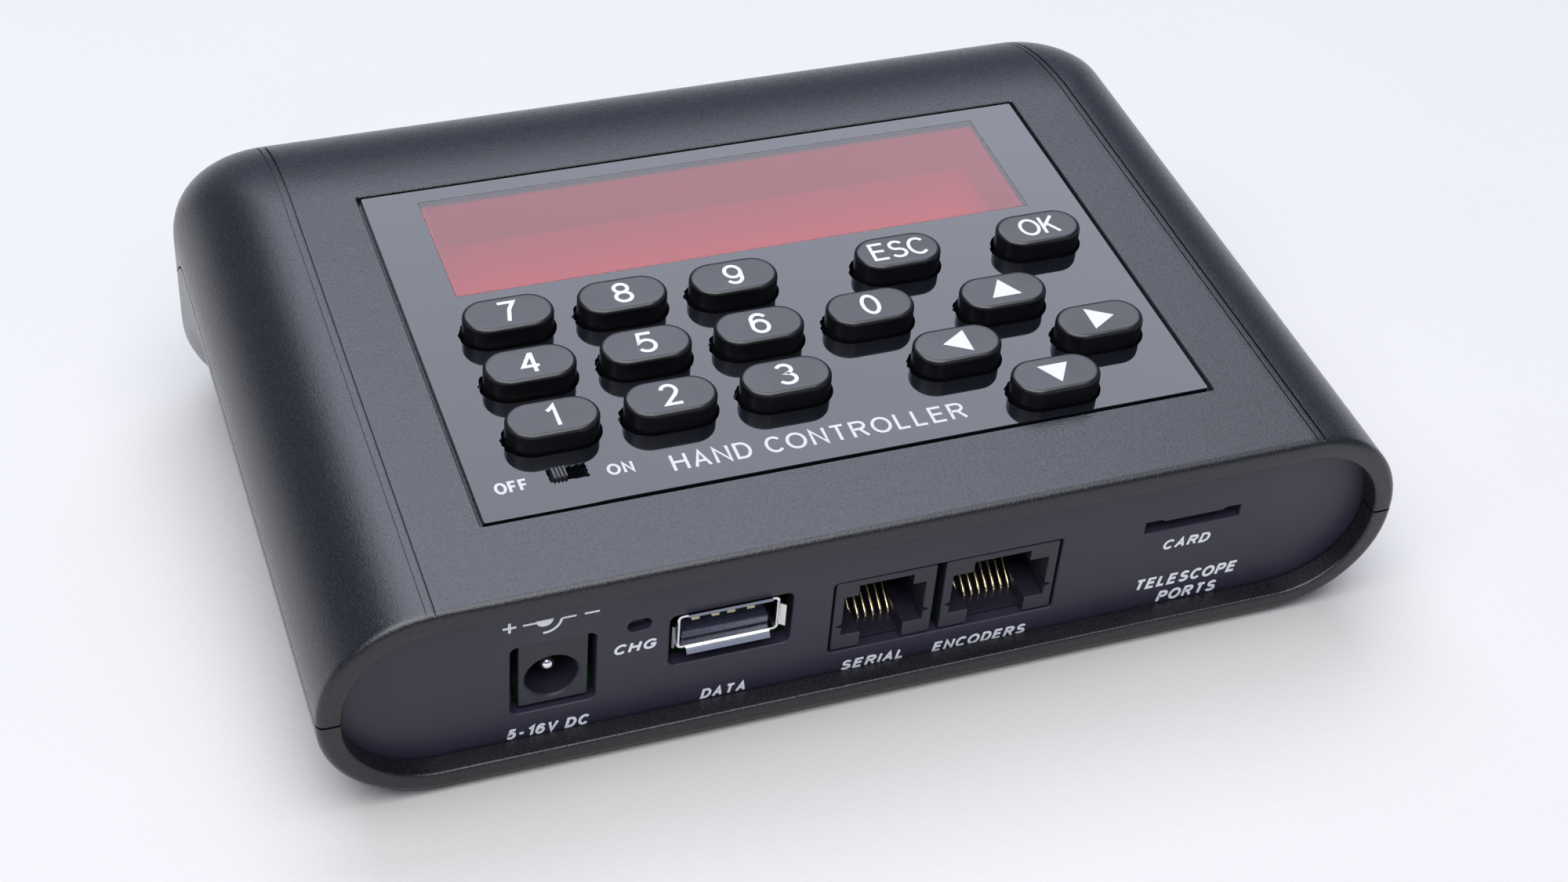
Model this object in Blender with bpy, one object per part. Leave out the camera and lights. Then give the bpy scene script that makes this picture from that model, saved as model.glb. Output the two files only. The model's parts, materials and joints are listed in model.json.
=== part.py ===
"""Tabletop hand controller for a telescope: two-part case, port panel, sixteen keys, red display window.

The case is drawn in its own frame and hangs on one empty, which leans it back onto its heel:
X runs along the port side, Y from the port panel to the rear, Z is the height over the top face.
All lengths are in metres.
"""
import math

import bmesh
import bpy
from mathutils import Vector

MM = 0.001

# ---- Case ----
CASE_FLAT_HALF = 55.3 * MM      # half width of the flat top between the round sides
CASE_SIDE_BULGE = 14.5 * MM     # how far each round side stands out from that
TOP_HEIGHT = 14.7 * MM          # top face down to the parting line
STRAIGHT_BAND = 0.8 * MM        # short straight wall under the parting line
BOTTOM_HEIGHT = 13.9 * MM       # round lower side, from that band to the bottom face
RIM_DEPTH = 3.0 * MM            # how far the rim stands in front of the port panel
REAR_START = 76.1 * MM          # where the top starts to fall towards the rear
REAR_LENGTH = 26.4 * MM         # length of that falling curve
REAR_BOTTOM_ROUND = 5.0 * MM    # rounding under the rear wall
CORNER_TOP = 3.0 * MM           # plan corner radius at the top face
CORNER_SIDE = 13.0 * MM         # plan corner radius at the parting line
CORNER_BOTTOM = 7.0 * MM        # plan corner radius at the bottom face
WALL = 2.2 * MM
LIP_WALL = 2.9 * MM             # thicker rim around the port panel
HEEL_LENGTH = 29.5 * MM         # from the start of the heel's ramp to the rear
HEEL_RAMP = 17.5 * MM
HEEL_DEPTH = 13.0 * MM
PARTING_DIP = 8.8 * MM          # how far the parting line drops on its way round the rear
PARTING_DIP_LENGTH = 13.0 * MM
PARTING_DIP_END = 6.5 * MM      # from the end of that drop to the rear
SEAM_GAP = 0.3 * MM

# ---- Clearances ----
FIT_GAP = 0.3 * MM              # between pieces that sit in or on each other
KEY_GAP = 0.35 * MM             # around a key in its hole

# ---- Overlay, window and display ----
OVERLAY_SIZE = (94.7 * MM, 65.25 * MM)
OVERLAY_FRONT = 9.58 * MM
OVERLAY_THICKNESS = 0.6 * MM
OVERLAY_RECESS = 0.9 * MM
OVERLAY_GAP = 0.5 * MM
OVERLAY_CORNER = 0.3 * MM
WINDOW_SIZE = (80.0 * MM, 21.0 * MM)
WINDOW_CENTRE_Y = 61.5 * MM
SHROUD_WALL = 1.6 * MM
SHROUD_OVERLAP = 0.5 * MM       # the opening under the window is this much smaller on each side
SHROUD_BOTTOM = 7.4 * MM
GLASS_THICKNESS = 1.1 * MM
PANEL_THICKNESS = 3.6 * MM
PANEL_MARGIN = 2.0 * MM         # how far the display's panel reaches past the window
DISPLAY_BOARD_MARGIN = 3.0 * MM
BOARD_THICKNESS = 1.6 * MM

# ---- Keys ----
KEY_LENGTH = 11.7 * MM
KEY_WIDTH = 6.45 * MM
KEY_RISE = 3.0 * MM             # top of a key over the top face
KEY_EDGE = 0.6 * MM             # rounding of a key's top edge
KEY_FLANGE = 0.6 * MM           # flange under the shell, on every side
KEY_FLANGE_HEIGHT = 0.8 * MM
KEY_TRAVEL = 0.5 * MM
SWITCH_SIDE = 6.0 * MM
SWITCH_HEIGHT = 2.9 * MM
NUMBER_PITCH = (14.85 * MM, 10.15 * MM)
NUMBER_CENTRE = (-20.2 * MM, 33.1 * MM)
ARROW_PITCH = (9.85 * MM, 8.5 * MM)
ARROW_CENTRE = (27.45 * MM, 23.3 * MM)
ZERO_KEY = (9.6 * MM, 33.1 * MM)
COMMAND_KEYS = {"key_esc": (17.25 * MM, 43.0 * MM), "key_ok": (37.3 * MM, 43.0 * MM)}

# ---- Power switch ----
KNOB_SIZE = (1.9 * MM, 1.8 * MM)
KNOB_TRAVEL = 2.2 * MM
KNOB_RISE = 0.5 * MM
KNOB_STEM = 1.1 * MM
POWER_SLOT_CENTRE = (-35.15 * MM, 15.8 * MM)
POWER_BODY = (8.6 * MM, 4.0 * MM, 3.4 * MM)

# ---- Port panel and connectors ----
PANEL_DEPTH = 2.0 * MM
MAIN_BOARD_LENGTH = 58.0 * MM
BOARD_STANDOFF = 6.2 * MM       # top of the main board over the outside of the bottom
MAIN_BOARD_FRONT = 3.5 * MM
JACK_FACE = 0.15 * MM           # the jack faces stand this far behind the panel's front face
JACK_DEPTH = 15.5 * MM
JACK_HEIGHT = 11.4 * MM
JACKS = {
    "serial": {"x": 0.8 * MM, "width": 13.2 * MM, "plug": 9.9 * MM, "latch": 7.2 * MM, "ways": 6},
    "encoder": {"x": 16.2 * MM, "width": 15.2 * MM, "plug": 11.9 * MM, "latch": 7.6 * MM, "ways": 8},
}
PLUG_HEIGHT = 6.7 * MM
PLUG_DEPTH = 12.5 * MM
PLUG_DROP = 0.25 * MM           # the plug's middle below the jack's
LATCH_HEIGHT = 1.8 * MM
JACK_FLOOR = 0.35 * MM          # under the slot that the contacts rise from
CONTACT_PITCH = 1.02 * MM
CONTACT_WIDTH = 0.4 * MM
CONTACT_THICKNESS = 0.3 * MM
CONTACT_TIP = (4.2 * MM, 0.8 * MM)   # behind the jack's face, and over the jack's bottom
CONTACT_REACH = 8.7 * MM
CONTACT_SPINE = 0.8 * MM
CONTACT_RISE = 34               # degrees, from the tips up towards the rear
POWER_JACK_X = -41.2 * MM
POWER_JACK_WIDTH = 9.0 * MM
POWER_JACK_RISE = 11.9 * MM     # its top over the main board, as for the other heights here
POWER_JACK_NECK = 10.8 * MM
POWER_JACK_DEPTH = 13.0 * MM
POWER_BORE = 3.3 * MM
POWER_BORE_RISE = 5.7 * MM
POWER_BORE_DEPTH = 9.5 * MM
POWER_PIN = 1.0 * MM            # radius
POWER_PIN_FRONT = 2.0 * MM
USB_X = -19.28 * MM
USB_SHELL = (13.14 * MM, 5.72 * MM)
USB_RISE = 8.8 * MM
USB_SHEET = 0.35 * MM
USB_DEPTH = 14.0 * MM
USB_TONGUE = (11.1 * MM, 1.3 * MM, 8.9 * MM)
USB_TONGUE_DROP = 1.35 * MM     # the tongue's middle below the shell's
USB_CARRIER = 2.0 * MM          # how far the block behind the tongue stands out of the shell
USB_WINDOW = (15.3 * MM, 8.3 * MM, 0.9 * MM)   # width, height and drop of the panel's opening
CARD_X = 42.15 * MM
CARD_RISE = 10.75 * MM
CARD_SLOT = (13.3 * MM, 1.9 * MM)
CARD_DEPTH = 15.0 * MM
CARD_WAY = (11.4 * MM, 1.1 * MM)  # inside the socket
CARD_BACK = 1.5 * MM
LIGHT_X = -30.67 * MM
LIGHT_RISE = 11.8 * MM
LIGHT_SIZE = (3.0 * MM, 1.9 * MM)

# ---- Fasteners, feet and battery ----
CASE_SCREW_OUT = 0.7 * MM       # from the edge of the flat top, outwards
CASE_SCREW_FRONT = 12.0 * MM
CASE_SCREW_TO_HEEL = 6.0 * MM
BOARD_SCREW_INSET = 3.2 * MM
SCREW_RADIUS = 1.25 * MM
SCREW_HEAD = 2.5 * MM
SCREW_HEAD_HEIGHT = 1.6 * MM
BOSS_RADIUS = 3.3 * MM
HEAD_RECESS = 3.0 * MM
SCREW_ENGAGEMENT = 7.0 * MM
FOOT_RADIUS = 3.6 * MM
FOOT_HEIGHT = 1.5 * MM
FOOT_IN = 7.3 * MM              # from the edge of the flat bottom, inwards
FOOT_FRONT = 6.0 * MM
FOOT_TO_REAR = 8.9 * MM
CELL_RADIUS = 7.2 * MM
CELL_LENGTH = 50.0 * MM
CELL_TO_REAR = 12.7 * MM
CELL_UNDER_SEAM = 13.2 * MM
HOLDER_WALL = 1.0 * MM

# ---- Derived places ----
CASE_REAR = REAR_START + REAR_LENGTH
HEEL_START = CASE_REAR - HEEL_LENGTH
PARTING_DIP_START = CASE_REAR - PARTING_DIP_END - PARTING_DIP_LENGTH
FOOT_Y = (FOOT_FRONT, CASE_REAR - FOOT_TO_REAR)
CASE_SCREW_Y = (CASE_SCREW_FRONT, HEEL_START - CASE_SCREW_TO_HEEL)
BAND_BOTTOM = -TOP_HEIGHT - STRAIGHT_BAND
CASE_BOTTOM = BAND_BOTTOM - BOTTOM_HEIGHT
SHELL_UNDERSIDE = -WALL
OVERLAY_CENTRE_Y = OVERLAY_FRONT + OVERLAY_SIZE[1] / 2
OVERLAY_TOP = -OVERLAY_RECESS + FIT_GAP + OVERLAY_THICKNESS
KEY_FLANGE_TOP = SHELL_UNDERSIDE - FIT_GAP
KEY_BOTTOM = KEY_FLANGE_TOP - KEY_FLANGE_HEIGHT
SWITCH_TOP = KEY_BOTTOM - KEY_TRAVEL - FIT_GAP
KEYPAD_BOARD_TOP = SWITCH_TOP - SWITCH_HEIGHT
MAIN_BOARD_TOP = CASE_BOTTOM + BOARD_STANDOFF
JACK_BOTTOM = MAIN_BOARD_TOP + FIT_GAP
JACK_TOP = JACK_BOTTOM + JACK_HEIGHT
POWER_JACK_TOP = MAIN_BOARD_TOP + POWER_JACK_RISE
POWER_BORE_Z = MAIN_BOARD_TOP + POWER_BORE_RISE
USB_SHELL_Z = MAIN_BOARD_TOP + USB_RISE
CARD_Z = MAIN_BOARD_TOP + CARD_RISE
LIGHT_Z = MAIN_BOARD_TOP + LIGHT_RISE
CASE_SCREW_X = CASE_FLAT_HALF + CASE_SCREW_OUT
FOOT_X = CASE_FLAT_HALF - FOOT_IN
MAIN_BOARD_SIZE = (2 * (CASE_SCREW_X - BOSS_RADIUS - 2 * FIT_GAP), MAIN_BOARD_LENGTH)
POST_TOP = MAIN_BOARD_TOP - BOARD_THICKNESS - FIT_GAP
FOOT_SPHERE = (FOOT_RADIUS ** 2 + FOOT_HEIGHT ** 2) / (2 * FOOT_HEIGHT)

ROUND = 24                      # sides of a round piece
CORNER_STEPS = 6
LEVEL_STEPS = 7
SIDE_STEPS = (0.0, 0.35, 0.74, 0.79, 0.84, 0.89, 0.94, 1.0)
FAR = 0.09                      # past every face of the case


# ---- Outlines, each a closed list of 2-D points ----
def circle(x, y, radius, sides=ROUND):
    return [(x + radius * math.cos(math.tau * k / sides), y + radius * math.sin(math.tau * k / sides))
            for k in range(sides)]


def rounded_box(x, y, width, height, radius=0.0, steps=3):
    """A rectangle about (x, y); its corners are arcs of the given radius."""
    if radius <= 0:
        signs = ((-1, -1), (1, -1), (1, 1), (-1, 1))
        return [(x + sx * width / 2, y + sy * height / 2) for sx, sy in signs]
    points = []
    for quarter, (sx, sy) in enumerate(((1, 1), (-1, 1), (-1, -1), (1, -1))):
        for k in range(steps + 1):
            angle = math.pi / 2 * (quarter + k / steps)
            points.append((x + sx * (width / 2 - radius) + radius * math.cos(angle),
                           y + sy * (height / 2 - radius) + radius * math.sin(angle)))
    return points


def stadium(x, y, length, width, steps=6):
    """Two half circles joined by straight sides; the long way is the first axis."""
    radius = width / 2
    half = length / 2 - radius
    points = []
    for side in (1, -1):
        for k in range(steps + 1):
            angle = math.pi * (k / steps - 0.5) + (0 if side > 0 else math.pi)
            points.append((x + side * half + radius * math.cos(angle), y + radius * math.sin(angle)))
    return points


def comb(x, y, ways, pitch, tooth, reach, spine):
    """A strip with one tooth for each way, teeth pointing to -Y."""
    left = x - pitch * (ways - 1) / 2
    points = [(left - pitch, y + spine), (left - pitch, y)]
    for way in range(ways):
        middle = left + pitch * way
        points += [(middle - tooth / 2, y), (middle - tooth / 2, y - reach),
                   (middle + tooth / 2, y - reach), (middle + tooth / 2, y)]
    points += [(left + pitch * ways, y), (left + pitch * ways, y + spine)]
    return points


# ---- Mesh builders ----
def on_axis(axis, u, v, along):
    if axis == "X":
        return Vector((along, u, v))
    if axis == "Y":
        return Vector((u, along, v))
    return Vector((u, v, along))


def add_rings(mesh, rings, strip_caps=False):
    """Skins closed rings of equal length; strip caps follow a ring that isn't flat along Y."""
    grid = [[mesh.verts.new(point) for point in ring] for ring in rings]
    count = len(rings[0])
    for low, high in zip(grid, grid[1:]):
        for k in range(count):
            mesh.faces.new((low[k], low[(k + 1) % count], high[(k + 1) % count], high[k]))
    for ring in (grid[0], grid[-1]):
        if strip_caps:
            for k in range(count // 2 - 1):
                mesh.faces.new((ring[k], ring[k + 1], ring[count - 2 - k], ring[count - 1 - k]))
        else:
            mesh.faces.new(ring)


def add_prism(mesh, outline, axis, start, end):
    add_rings(mesh, [[on_axis(axis, u, v, along) for u, v in outline] for along in (start, end)])


def add_box(mesh, low, high):
    width, depth = high[0] - low[0], high[1] - low[1]
    outline = rounded_box(low[0] + width / 2, low[1] + depth / 2, width, depth)
    add_prism(mesh, outline, "Z", low[2], high[2])


# ---- Objects ----
def material(name, colour, roughness, metallic=0.0, alpha=1.0):
    made = bpy.data.materials.new(name)
    made.use_nodes = True
    shader = made.node_tree.nodes["Principled BSDF"]
    shader.inputs["Base Color"].default_value = (*colour, 1.0)
    shader.inputs["Roughness"].default_value = roughness
    shader.inputs["Metallic"].default_value = metallic
    shader.inputs["Alpha"].default_value = alpha
    return made


def place(name, mesh, look=None, location=(0, 0, 0), parent=None):
    """Turns a bmesh into an object that hangs on the case's empty."""
    bmesh.ops.recalc_face_normals(mesh, faces=mesh.faces)
    data = bpy.data.meshes.new(name)
    mesh.to_mesh(data)
    mesh.free()
    made = bpy.data.objects.new(name, data)
    bpy.context.scene.collection.objects.link(made)
    made.parent = parent
    made.location = location
    if look:
        data.materials.append(look)
        data.shade_smooth()
        data.set_sharp_from_angle(angle=math.radians(35))
    return made


def tool(name, mesh, parent):
    """A cutter or an addition for a Boolean, drawn in its parent's frame and never built itself."""
    made = place(name, mesh, parent=parent)
    made.hide_render = True
    made.display_type = "WIRE"
    return made


def combine(target, operand, operation):
    step = target.modifiers.new(operand.name, "BOOLEAN")
    step.object = operand
    step.operation = operation
    step.solver = "EXACT"


# ---- The case surface ----
def heel_drop(y):
    """How much lower the bottom is at y than at the front: a smooth ramp down to the heel."""
    t = min(max((y - HEEL_START) / HEEL_RAMP, 0.0), 1.0)
    return HEEL_DEPTH * t * t * (3 - 2 * t)


def plan_ring(half_width, front, rear, corner, height_at):
    """One level of the case in plan: straight front and sides, round rear corners."""
    left = [(-half_width, front + (rear - corner - front) * step) for step in SIDE_STEPS]
    for k in range(1, CORNER_STEPS + 1):
        angle = math.pi / 2 * k / CORNER_STEPS
        left.append((-half_width + corner * (1 - math.cos(angle)), rear - corner * (1 - math.sin(angle))))
    outline = left + [(-x, y) for x, y in reversed(left)]
    return [Vector((x, y, height_at(y))) for x, y in outline]


def add_case_body(mesh, inset, front):
    """The closed body of the case, or of its cavity when inset is the wall."""
    rings = []
    for k in range(LEVEL_STEPS + 1):
        angle = math.pi / 2 * k / LEVEL_STEPS
        out = math.sin(angle)
        z = -TOP_HEIGHT + (TOP_HEIGHT - inset) * math.cos(angle)
        rings.append(plan_ring(CASE_FLAT_HALF + (CASE_SIDE_BULGE - inset) * out, front,
                               REAR_START + (REAR_LENGTH - inset) * out,
                               CORNER_TOP + (CORNER_SIDE - inset - CORNER_TOP) * out, lambda y, z=z: z))
    for k in range(LEVEL_STEPS + 1):
        angle = math.pi / 2 * k / LEVEL_STEPS
        out = math.cos(angle)
        z = BAND_BOTTOM - (BOTTOM_HEIGHT - inset) * math.sin(angle)
        rings.append(plan_ring(CASE_FLAT_HALF + (CASE_SIDE_BULGE - inset) * out, front,
                               CASE_REAR - inset - REAR_BOTTOM_ROUND * (1 - out),
                               CORNER_BOTTOM + (CORNER_SIDE - inset - CORNER_BOTTOM) * out,
                               lambda y, z=z: z - heel_drop(y)))
    add_rings(mesh, rings, strip_caps=True)


def case_section(inset):
    """The stadium-shaped section across the case at the port panel, shrunk by inset."""
    points = []
    for side in (1, -1):
        for k in range(LEVEL_STEPS + 1):
            angle = math.pi / 2 * k / LEVEL_STEPS
            across = CASE_FLAT_HALF + (CASE_SIDE_BULGE - inset) * math.sin(angle)
            points.append((side * across, -TOP_HEIGHT + (TOP_HEIGHT - inset) * math.cos(angle)))
        for k in range(LEVEL_STEPS + 1):
            angle = math.pi / 2 * k / LEVEL_STEPS
            across = CASE_FLAT_HALF + (CASE_SIDE_BULGE - inset) * math.cos(angle)
            points.append((side * across, BAND_BOTTOM - (BOTTOM_HEIGHT - inset) * math.sin(angle)))
        if side > 0:
            right = points
            points = []
    return right + list(reversed(points))


def parting_profile(offset):
    """Side view of the parting line, moved up by offset: level, then dipping round the rear."""
    points = [(-FAR, -TOP_HEIGHT + offset)]
    steps = 8
    for k in range(steps + 1):
        t = k / steps
        y = PARTING_DIP_START + PARTING_DIP_LENGTH * t
        points.append((y, -TOP_HEIGHT - PARTING_DIP * (1 - math.cos(math.pi * t)) / 2 + offset))
    points.append((2 * FAR, -TOP_HEIGHT - PARTING_DIP + offset))
    return points


def key_places():
    places = {}
    for number in range(1, 10):
        column = (number - 1) % 3 - 1
        row = (number - 1) // 3 - 1
        places[f"key_{number}"] = (NUMBER_CENTRE[0] + column * NUMBER_PITCH[0],
                                   NUMBER_CENTRE[1] + row * NUMBER_PITCH[1])
    places["key_0"] = ZERO_KEY
    places.update(COMMAND_KEYS)
    for name, (across, up) in {"key_up": (0, 1), "key_down": (0, -1),
                               "key_left": (-1, 0), "key_right": (1, 0)}.items():
        places[name] = (ARROW_CENTRE[0] + across * ARROW_PITCH[0], ARROW_CENTRE[1] + up * ARROW_PITCH[1])
    return places


def case_screw_places():
    return [(side * CASE_SCREW_X, y) for y in CASE_SCREW_Y for side in (-1, 1)]


def board_screw_places():
    half = MAIN_BOARD_SIZE[0] / 2 - BOARD_SCREW_INSET
    ys = (MAIN_BOARD_FRONT + BOARD_SCREW_INSET, MAIN_BOARD_FRONT + MAIN_BOARD_SIZE[1] - BOARD_SCREW_INSET)
    return [(side * half, y) for y in ys for side in (-1, 1)]


def power_slot(gap):
    """Outline of the slot that the power knob slides in, with a gap around its path."""
    return rounded_box(*POWER_SLOT_CENTRE, KNOB_SIZE[0] + KNOB_TRAVEL + 2 * gap, KNOB_SIZE[1] + 2 * gap,
                       0.4 * MM)


# ---- Case pieces ----
def cut_front(target, label, frame):
    """Hollows a shell and opens it behind the rim for the port panel."""
    hollow = bmesh.new()
    add_case_body(hollow, WALL, -FIT_GAP)
    combine(target, tool(f"{label}_hollow", hollow, frame), "DIFFERENCE")
    mouth = bmesh.new()
    add_prism(mouth, case_section(LIP_WALL), "Y", -2 * RIM_DEPTH, WALL)
    combine(target, tool(f"{label}_mouth", mouth, frame), "DIFFERENCE")


def make_top_shell(frame, look):
    body = bmesh.new()
    add_case_body(body, 0.0, -RIM_DEPTH)
    shell = place("top_shell", body, look, parent=frame)
    keep = bmesh.new()
    profile = parting_profile(SEAM_GAP / 2) + [(2 * FAR, FAR), (-FAR, FAR)]
    add_prism(keep, profile, "X", -FAR, FAR)
    combine(shell, tool("top_keep", keep, frame), "INTERSECT")
    cut_front(shell, "top", frame)

    bosses = bmesh.new()
    for x, y in case_screw_places():
        add_prism(bosses, circle(x, y, BOSS_RADIUS, 16), "Z", -TOP_HEIGHT + SEAM_GAP / 2, -WALL / 2)
    opening = [size - 2 * SHROUD_OVERLAP for size in WINDOW_SIZE]
    add_prism(bosses, rounded_box(0, WINDOW_CENTRE_Y, opening[0] + 2 * SHROUD_WALL,
                                  opening[1] + 2 * SHROUD_WALL), "Z", -SHROUD_BOTTOM,
              -OVERLAY_RECESS - WALL / 4)
    combine(shell, tool("top_bosses", bosses, frame), "UNION")

    recess = bmesh.new()
    add_prism(recess, rounded_box(0, OVERLAY_CENTRE_Y, *OVERLAY_SIZE, OVERLAY_CORNER), "Z",
              -OVERLAY_RECESS, TOP_HEIGHT)
    combine(shell, tool("overlay_recess", recess, frame), "DIFFERENCE")

    holes = bmesh.new()
    add_prism(holes, rounded_box(0, WINDOW_CENTRE_Y, *opening), "Z", -2 * TOP_HEIGHT, TOP_HEIGHT)
    for x, y in key_places().values():
        add_prism(holes, stadium(x, y, KEY_LENGTH + 2 * KEY_GAP, KEY_WIDTH + 2 * KEY_GAP), "Z",
                  -TOP_HEIGHT, TOP_HEIGHT)
    add_prism(holes, power_slot(FIT_GAP), "Z", -TOP_HEIGHT, TOP_HEIGHT)
    for x, y in case_screw_places():
        add_prism(holes, circle(x, y, SCREW_RADIUS + FIT_GAP, 12), "Z", -2 * TOP_HEIGHT,
                  -TOP_HEIGHT + SCREW_ENGAGEMENT + FIT_GAP)
    combine(shell, tool("top_holes", holes, frame), "DIFFERENCE")


def make_bottom_shell(frame, look):
    body = bmesh.new()
    add_case_body(body, 0.0, -RIM_DEPTH)
    shell = place("bottom_shell", body, look, parent=frame)
    keep = bmesh.new()
    profile = parting_profile(-SEAM_GAP / 2) + [(2 * FAR, -FAR), (-FAR, -FAR)]
    add_prism(keep, profile, "X", -FAR, FAR)
    combine(shell, tool("bottom_keep", keep, frame), "INTERSECT")
    cut_front(shell, "bottom", frame)

    posts = bmesh.new()
    for x, y in case_screw_places():
        add_prism(posts, circle(x, y, BOSS_RADIUS, 16), "Z", CASE_BOTTOM + WALL / 2,
                  -TOP_HEIGHT - SEAM_GAP / 2)
    for x, y in board_screw_places():
        add_prism(posts, circle(x, y, BOSS_RADIUS, 16), "Z", CASE_BOTTOM + WALL / 2, POST_TOP)
    combine(shell, tool("bottom_posts", posts, frame), "UNION")

    holes = bmesh.new()
    for x, y in case_screw_places():
        add_prism(holes, circle(x, y, SCREW_RADIUS + FIT_GAP, 12), "Z",
                  CASE_BOTTOM + HEAD_RECESS - FIT_GAP, 0.0)
    for x, y in board_screw_places():
        add_prism(holes, circle(x, y, SCREW_RADIUS + FIT_GAP, 12), "Z", CASE_BOTTOM + WALL / 2, 0.0)
    combine(shell, tool("bottom_holes", holes, frame), "DIFFERENCE")

    recesses = bmesh.new()
    for x, y in case_screw_places():
        add_prism(recesses, circle(x, y, SCREW_HEAD + FIT_GAP, 16), "Z", CASE_BOTTOM - WALL,
                  CASE_BOTTOM + HEAD_RECESS)
    combine(shell, tool("head_recesses", recesses, frame), "DIFFERENCE")


def make_port_panel(frame, look):
    plate = bmesh.new()
    add_prism(plate, case_section(WALL + FIT_GAP), "Y", 0.0, PANEL_DEPTH)
    panel = place("port_panel", plate, look, parent=frame)
    cuts = bmesh.new()
    first, last = JACKS["serial"], JACKS["encoder"]
    left = first["x"] - first["width"] / 2 - FIT_GAP
    right = last["x"] + last["width"] / 2 + FIT_GAP
    neck_bottom = POWER_JACK_TOP - POWER_JACK_NECK
    windows = [
        rounded_box((left + right) / 2, (JACK_TOP + JACK_BOTTOM) / 2, right - left,
                    JACK_HEIGHT + 2 * FIT_GAP, 0.5 * MM),
        rounded_box(POWER_JACK_X, (POWER_JACK_TOP + neck_bottom) / 2, POWER_JACK_WIDTH + 4 * FIT_GAP,
                    POWER_JACK_NECK + 2 * FIT_GAP, 1.0 * MM),
        rounded_box(USB_X, USB_SHELL_Z - USB_WINDOW[2], *USB_WINDOW[:2], 0.8 * MM),
        rounded_box(CARD_X, CARD_Z, *CARD_SLOT, 0.4 * MM),
        stadium(LIGHT_X, LIGHT_Z, *LIGHT_SIZE, 4),
    ]
    for outline in windows:
        add_prism(cuts, outline, "Y", -RIM_DEPTH, 2 * PANEL_DEPTH)
    combine(panel, tool("port_cuts", cuts, frame), "DIFFERENCE")


def make_overlay(frame, look, window_look):
    sheet = bmesh.new()
    add_prism(sheet, rounded_box(0, OVERLAY_CENTRE_Y, OVERLAY_SIZE[0] - 2 * OVERLAY_GAP,
                                 OVERLAY_SIZE[1] - 2 * OVERLAY_GAP, OVERLAY_CORNER), "Z",
              OVERLAY_TOP - OVERLAY_THICKNESS, OVERLAY_TOP)
    overlay = place("keypad_overlay", sheet, look, parent=frame)
    holes = bmesh.new()
    add_prism(holes, rounded_box(0, WINDOW_CENTRE_Y, *WINDOW_SIZE), "Z", -TOP_HEIGHT, TOP_HEIGHT)
    for x, y in key_places().values():
        add_prism(holes, stadium(x, y, KEY_LENGTH + 2 * KEY_GAP, KEY_WIDTH + 2 * KEY_GAP), "Z",
                  -TOP_HEIGHT, TOP_HEIGHT)
    add_prism(holes, power_slot(FIT_GAP), "Z", -TOP_HEIGHT, TOP_HEIGHT)
    combine(overlay, tool("overlay_holes", holes, frame), "DIFFERENCE")

    pane = bmesh.new()
    add_prism(pane, rounded_box(0, 0, WINDOW_SIZE[0] - 2 * FIT_GAP, WINDOW_SIZE[1] - 2 * FIT_GAP), "Z",
              -OVERLAY_THICKNESS, 0.0)
    place("display_window", pane, window_look, (0, WINDOW_CENTRE_Y, OVERLAY_TOP), frame)


def make_keys(frame, look):
    """One cap, shared by all keys: flange under the shell, straight sides, rounded top edge."""
    levels = [(KEY_BOTTOM, -KEY_FLANGE), (KEY_FLANGE_TOP, -KEY_FLANGE), (KEY_FLANGE_TOP, 0.0)]
    steps = 3
    for k in range(steps + 1):
        angle = math.pi / 2 * k / steps
        levels.append((KEY_RISE - KEY_EDGE * (1 - math.sin(angle)), KEY_EDGE * (1 - math.cos(angle))))
    rings = []
    for z, inset in levels:
        outline = stadium(0, 0, KEY_LENGTH - 2 * inset, KEY_WIDTH - 2 * inset)
        rings.append([Vector((x, y, z)) for x, y in outline])
    cap = bmesh.new()
    add_rings(cap, rings)
    places = list(key_places().items())
    first = place(places[0][0], cap, look, (*places[0][1], 0.0), frame)
    for name, (x, y) in places[1:]:
        key = bpy.data.objects.new(name, first.data)
        bpy.context.scene.collection.objects.link(key)
        key.parent = frame
        key.location = (x, y, 0.0)


# ---- Inside ----
def make_keypad_board(frame, look):
    """The board under the keys, with one push switch under each of them."""
    places = key_places().values()
    margin = KEY_LENGTH / 2
    low_x = min(x for x, y in places) - margin
    high_x = max(x for x, y in places) + margin
    low_y = POWER_SLOT_CENTRE[1] - POWER_BODY[1]
    high_y = WINDOW_CENTRE_Y - WINDOW_SIZE[1] / 2 - DISPLAY_BOARD_MARGIN - FIT_GAP
    plate = bmesh.new()
    add_box(plate, (low_x, low_y, KEYPAD_BOARD_TOP - BOARD_THICKNESS), (high_x, high_y, KEYPAD_BOARD_TOP))
    board = place("keypad_board", plate, look, parent=frame)
    switches = bmesh.new()
    for x, y in places:
        add_prism(switches, rounded_box(x, y, SWITCH_SIDE, SWITCH_SIDE), "Z",
                  KEYPAD_BOARD_TOP - BOARD_THICKNESS / 2, SWITCH_TOP)
    combine(board, tool("push_switches", switches, frame), "UNION")


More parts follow.
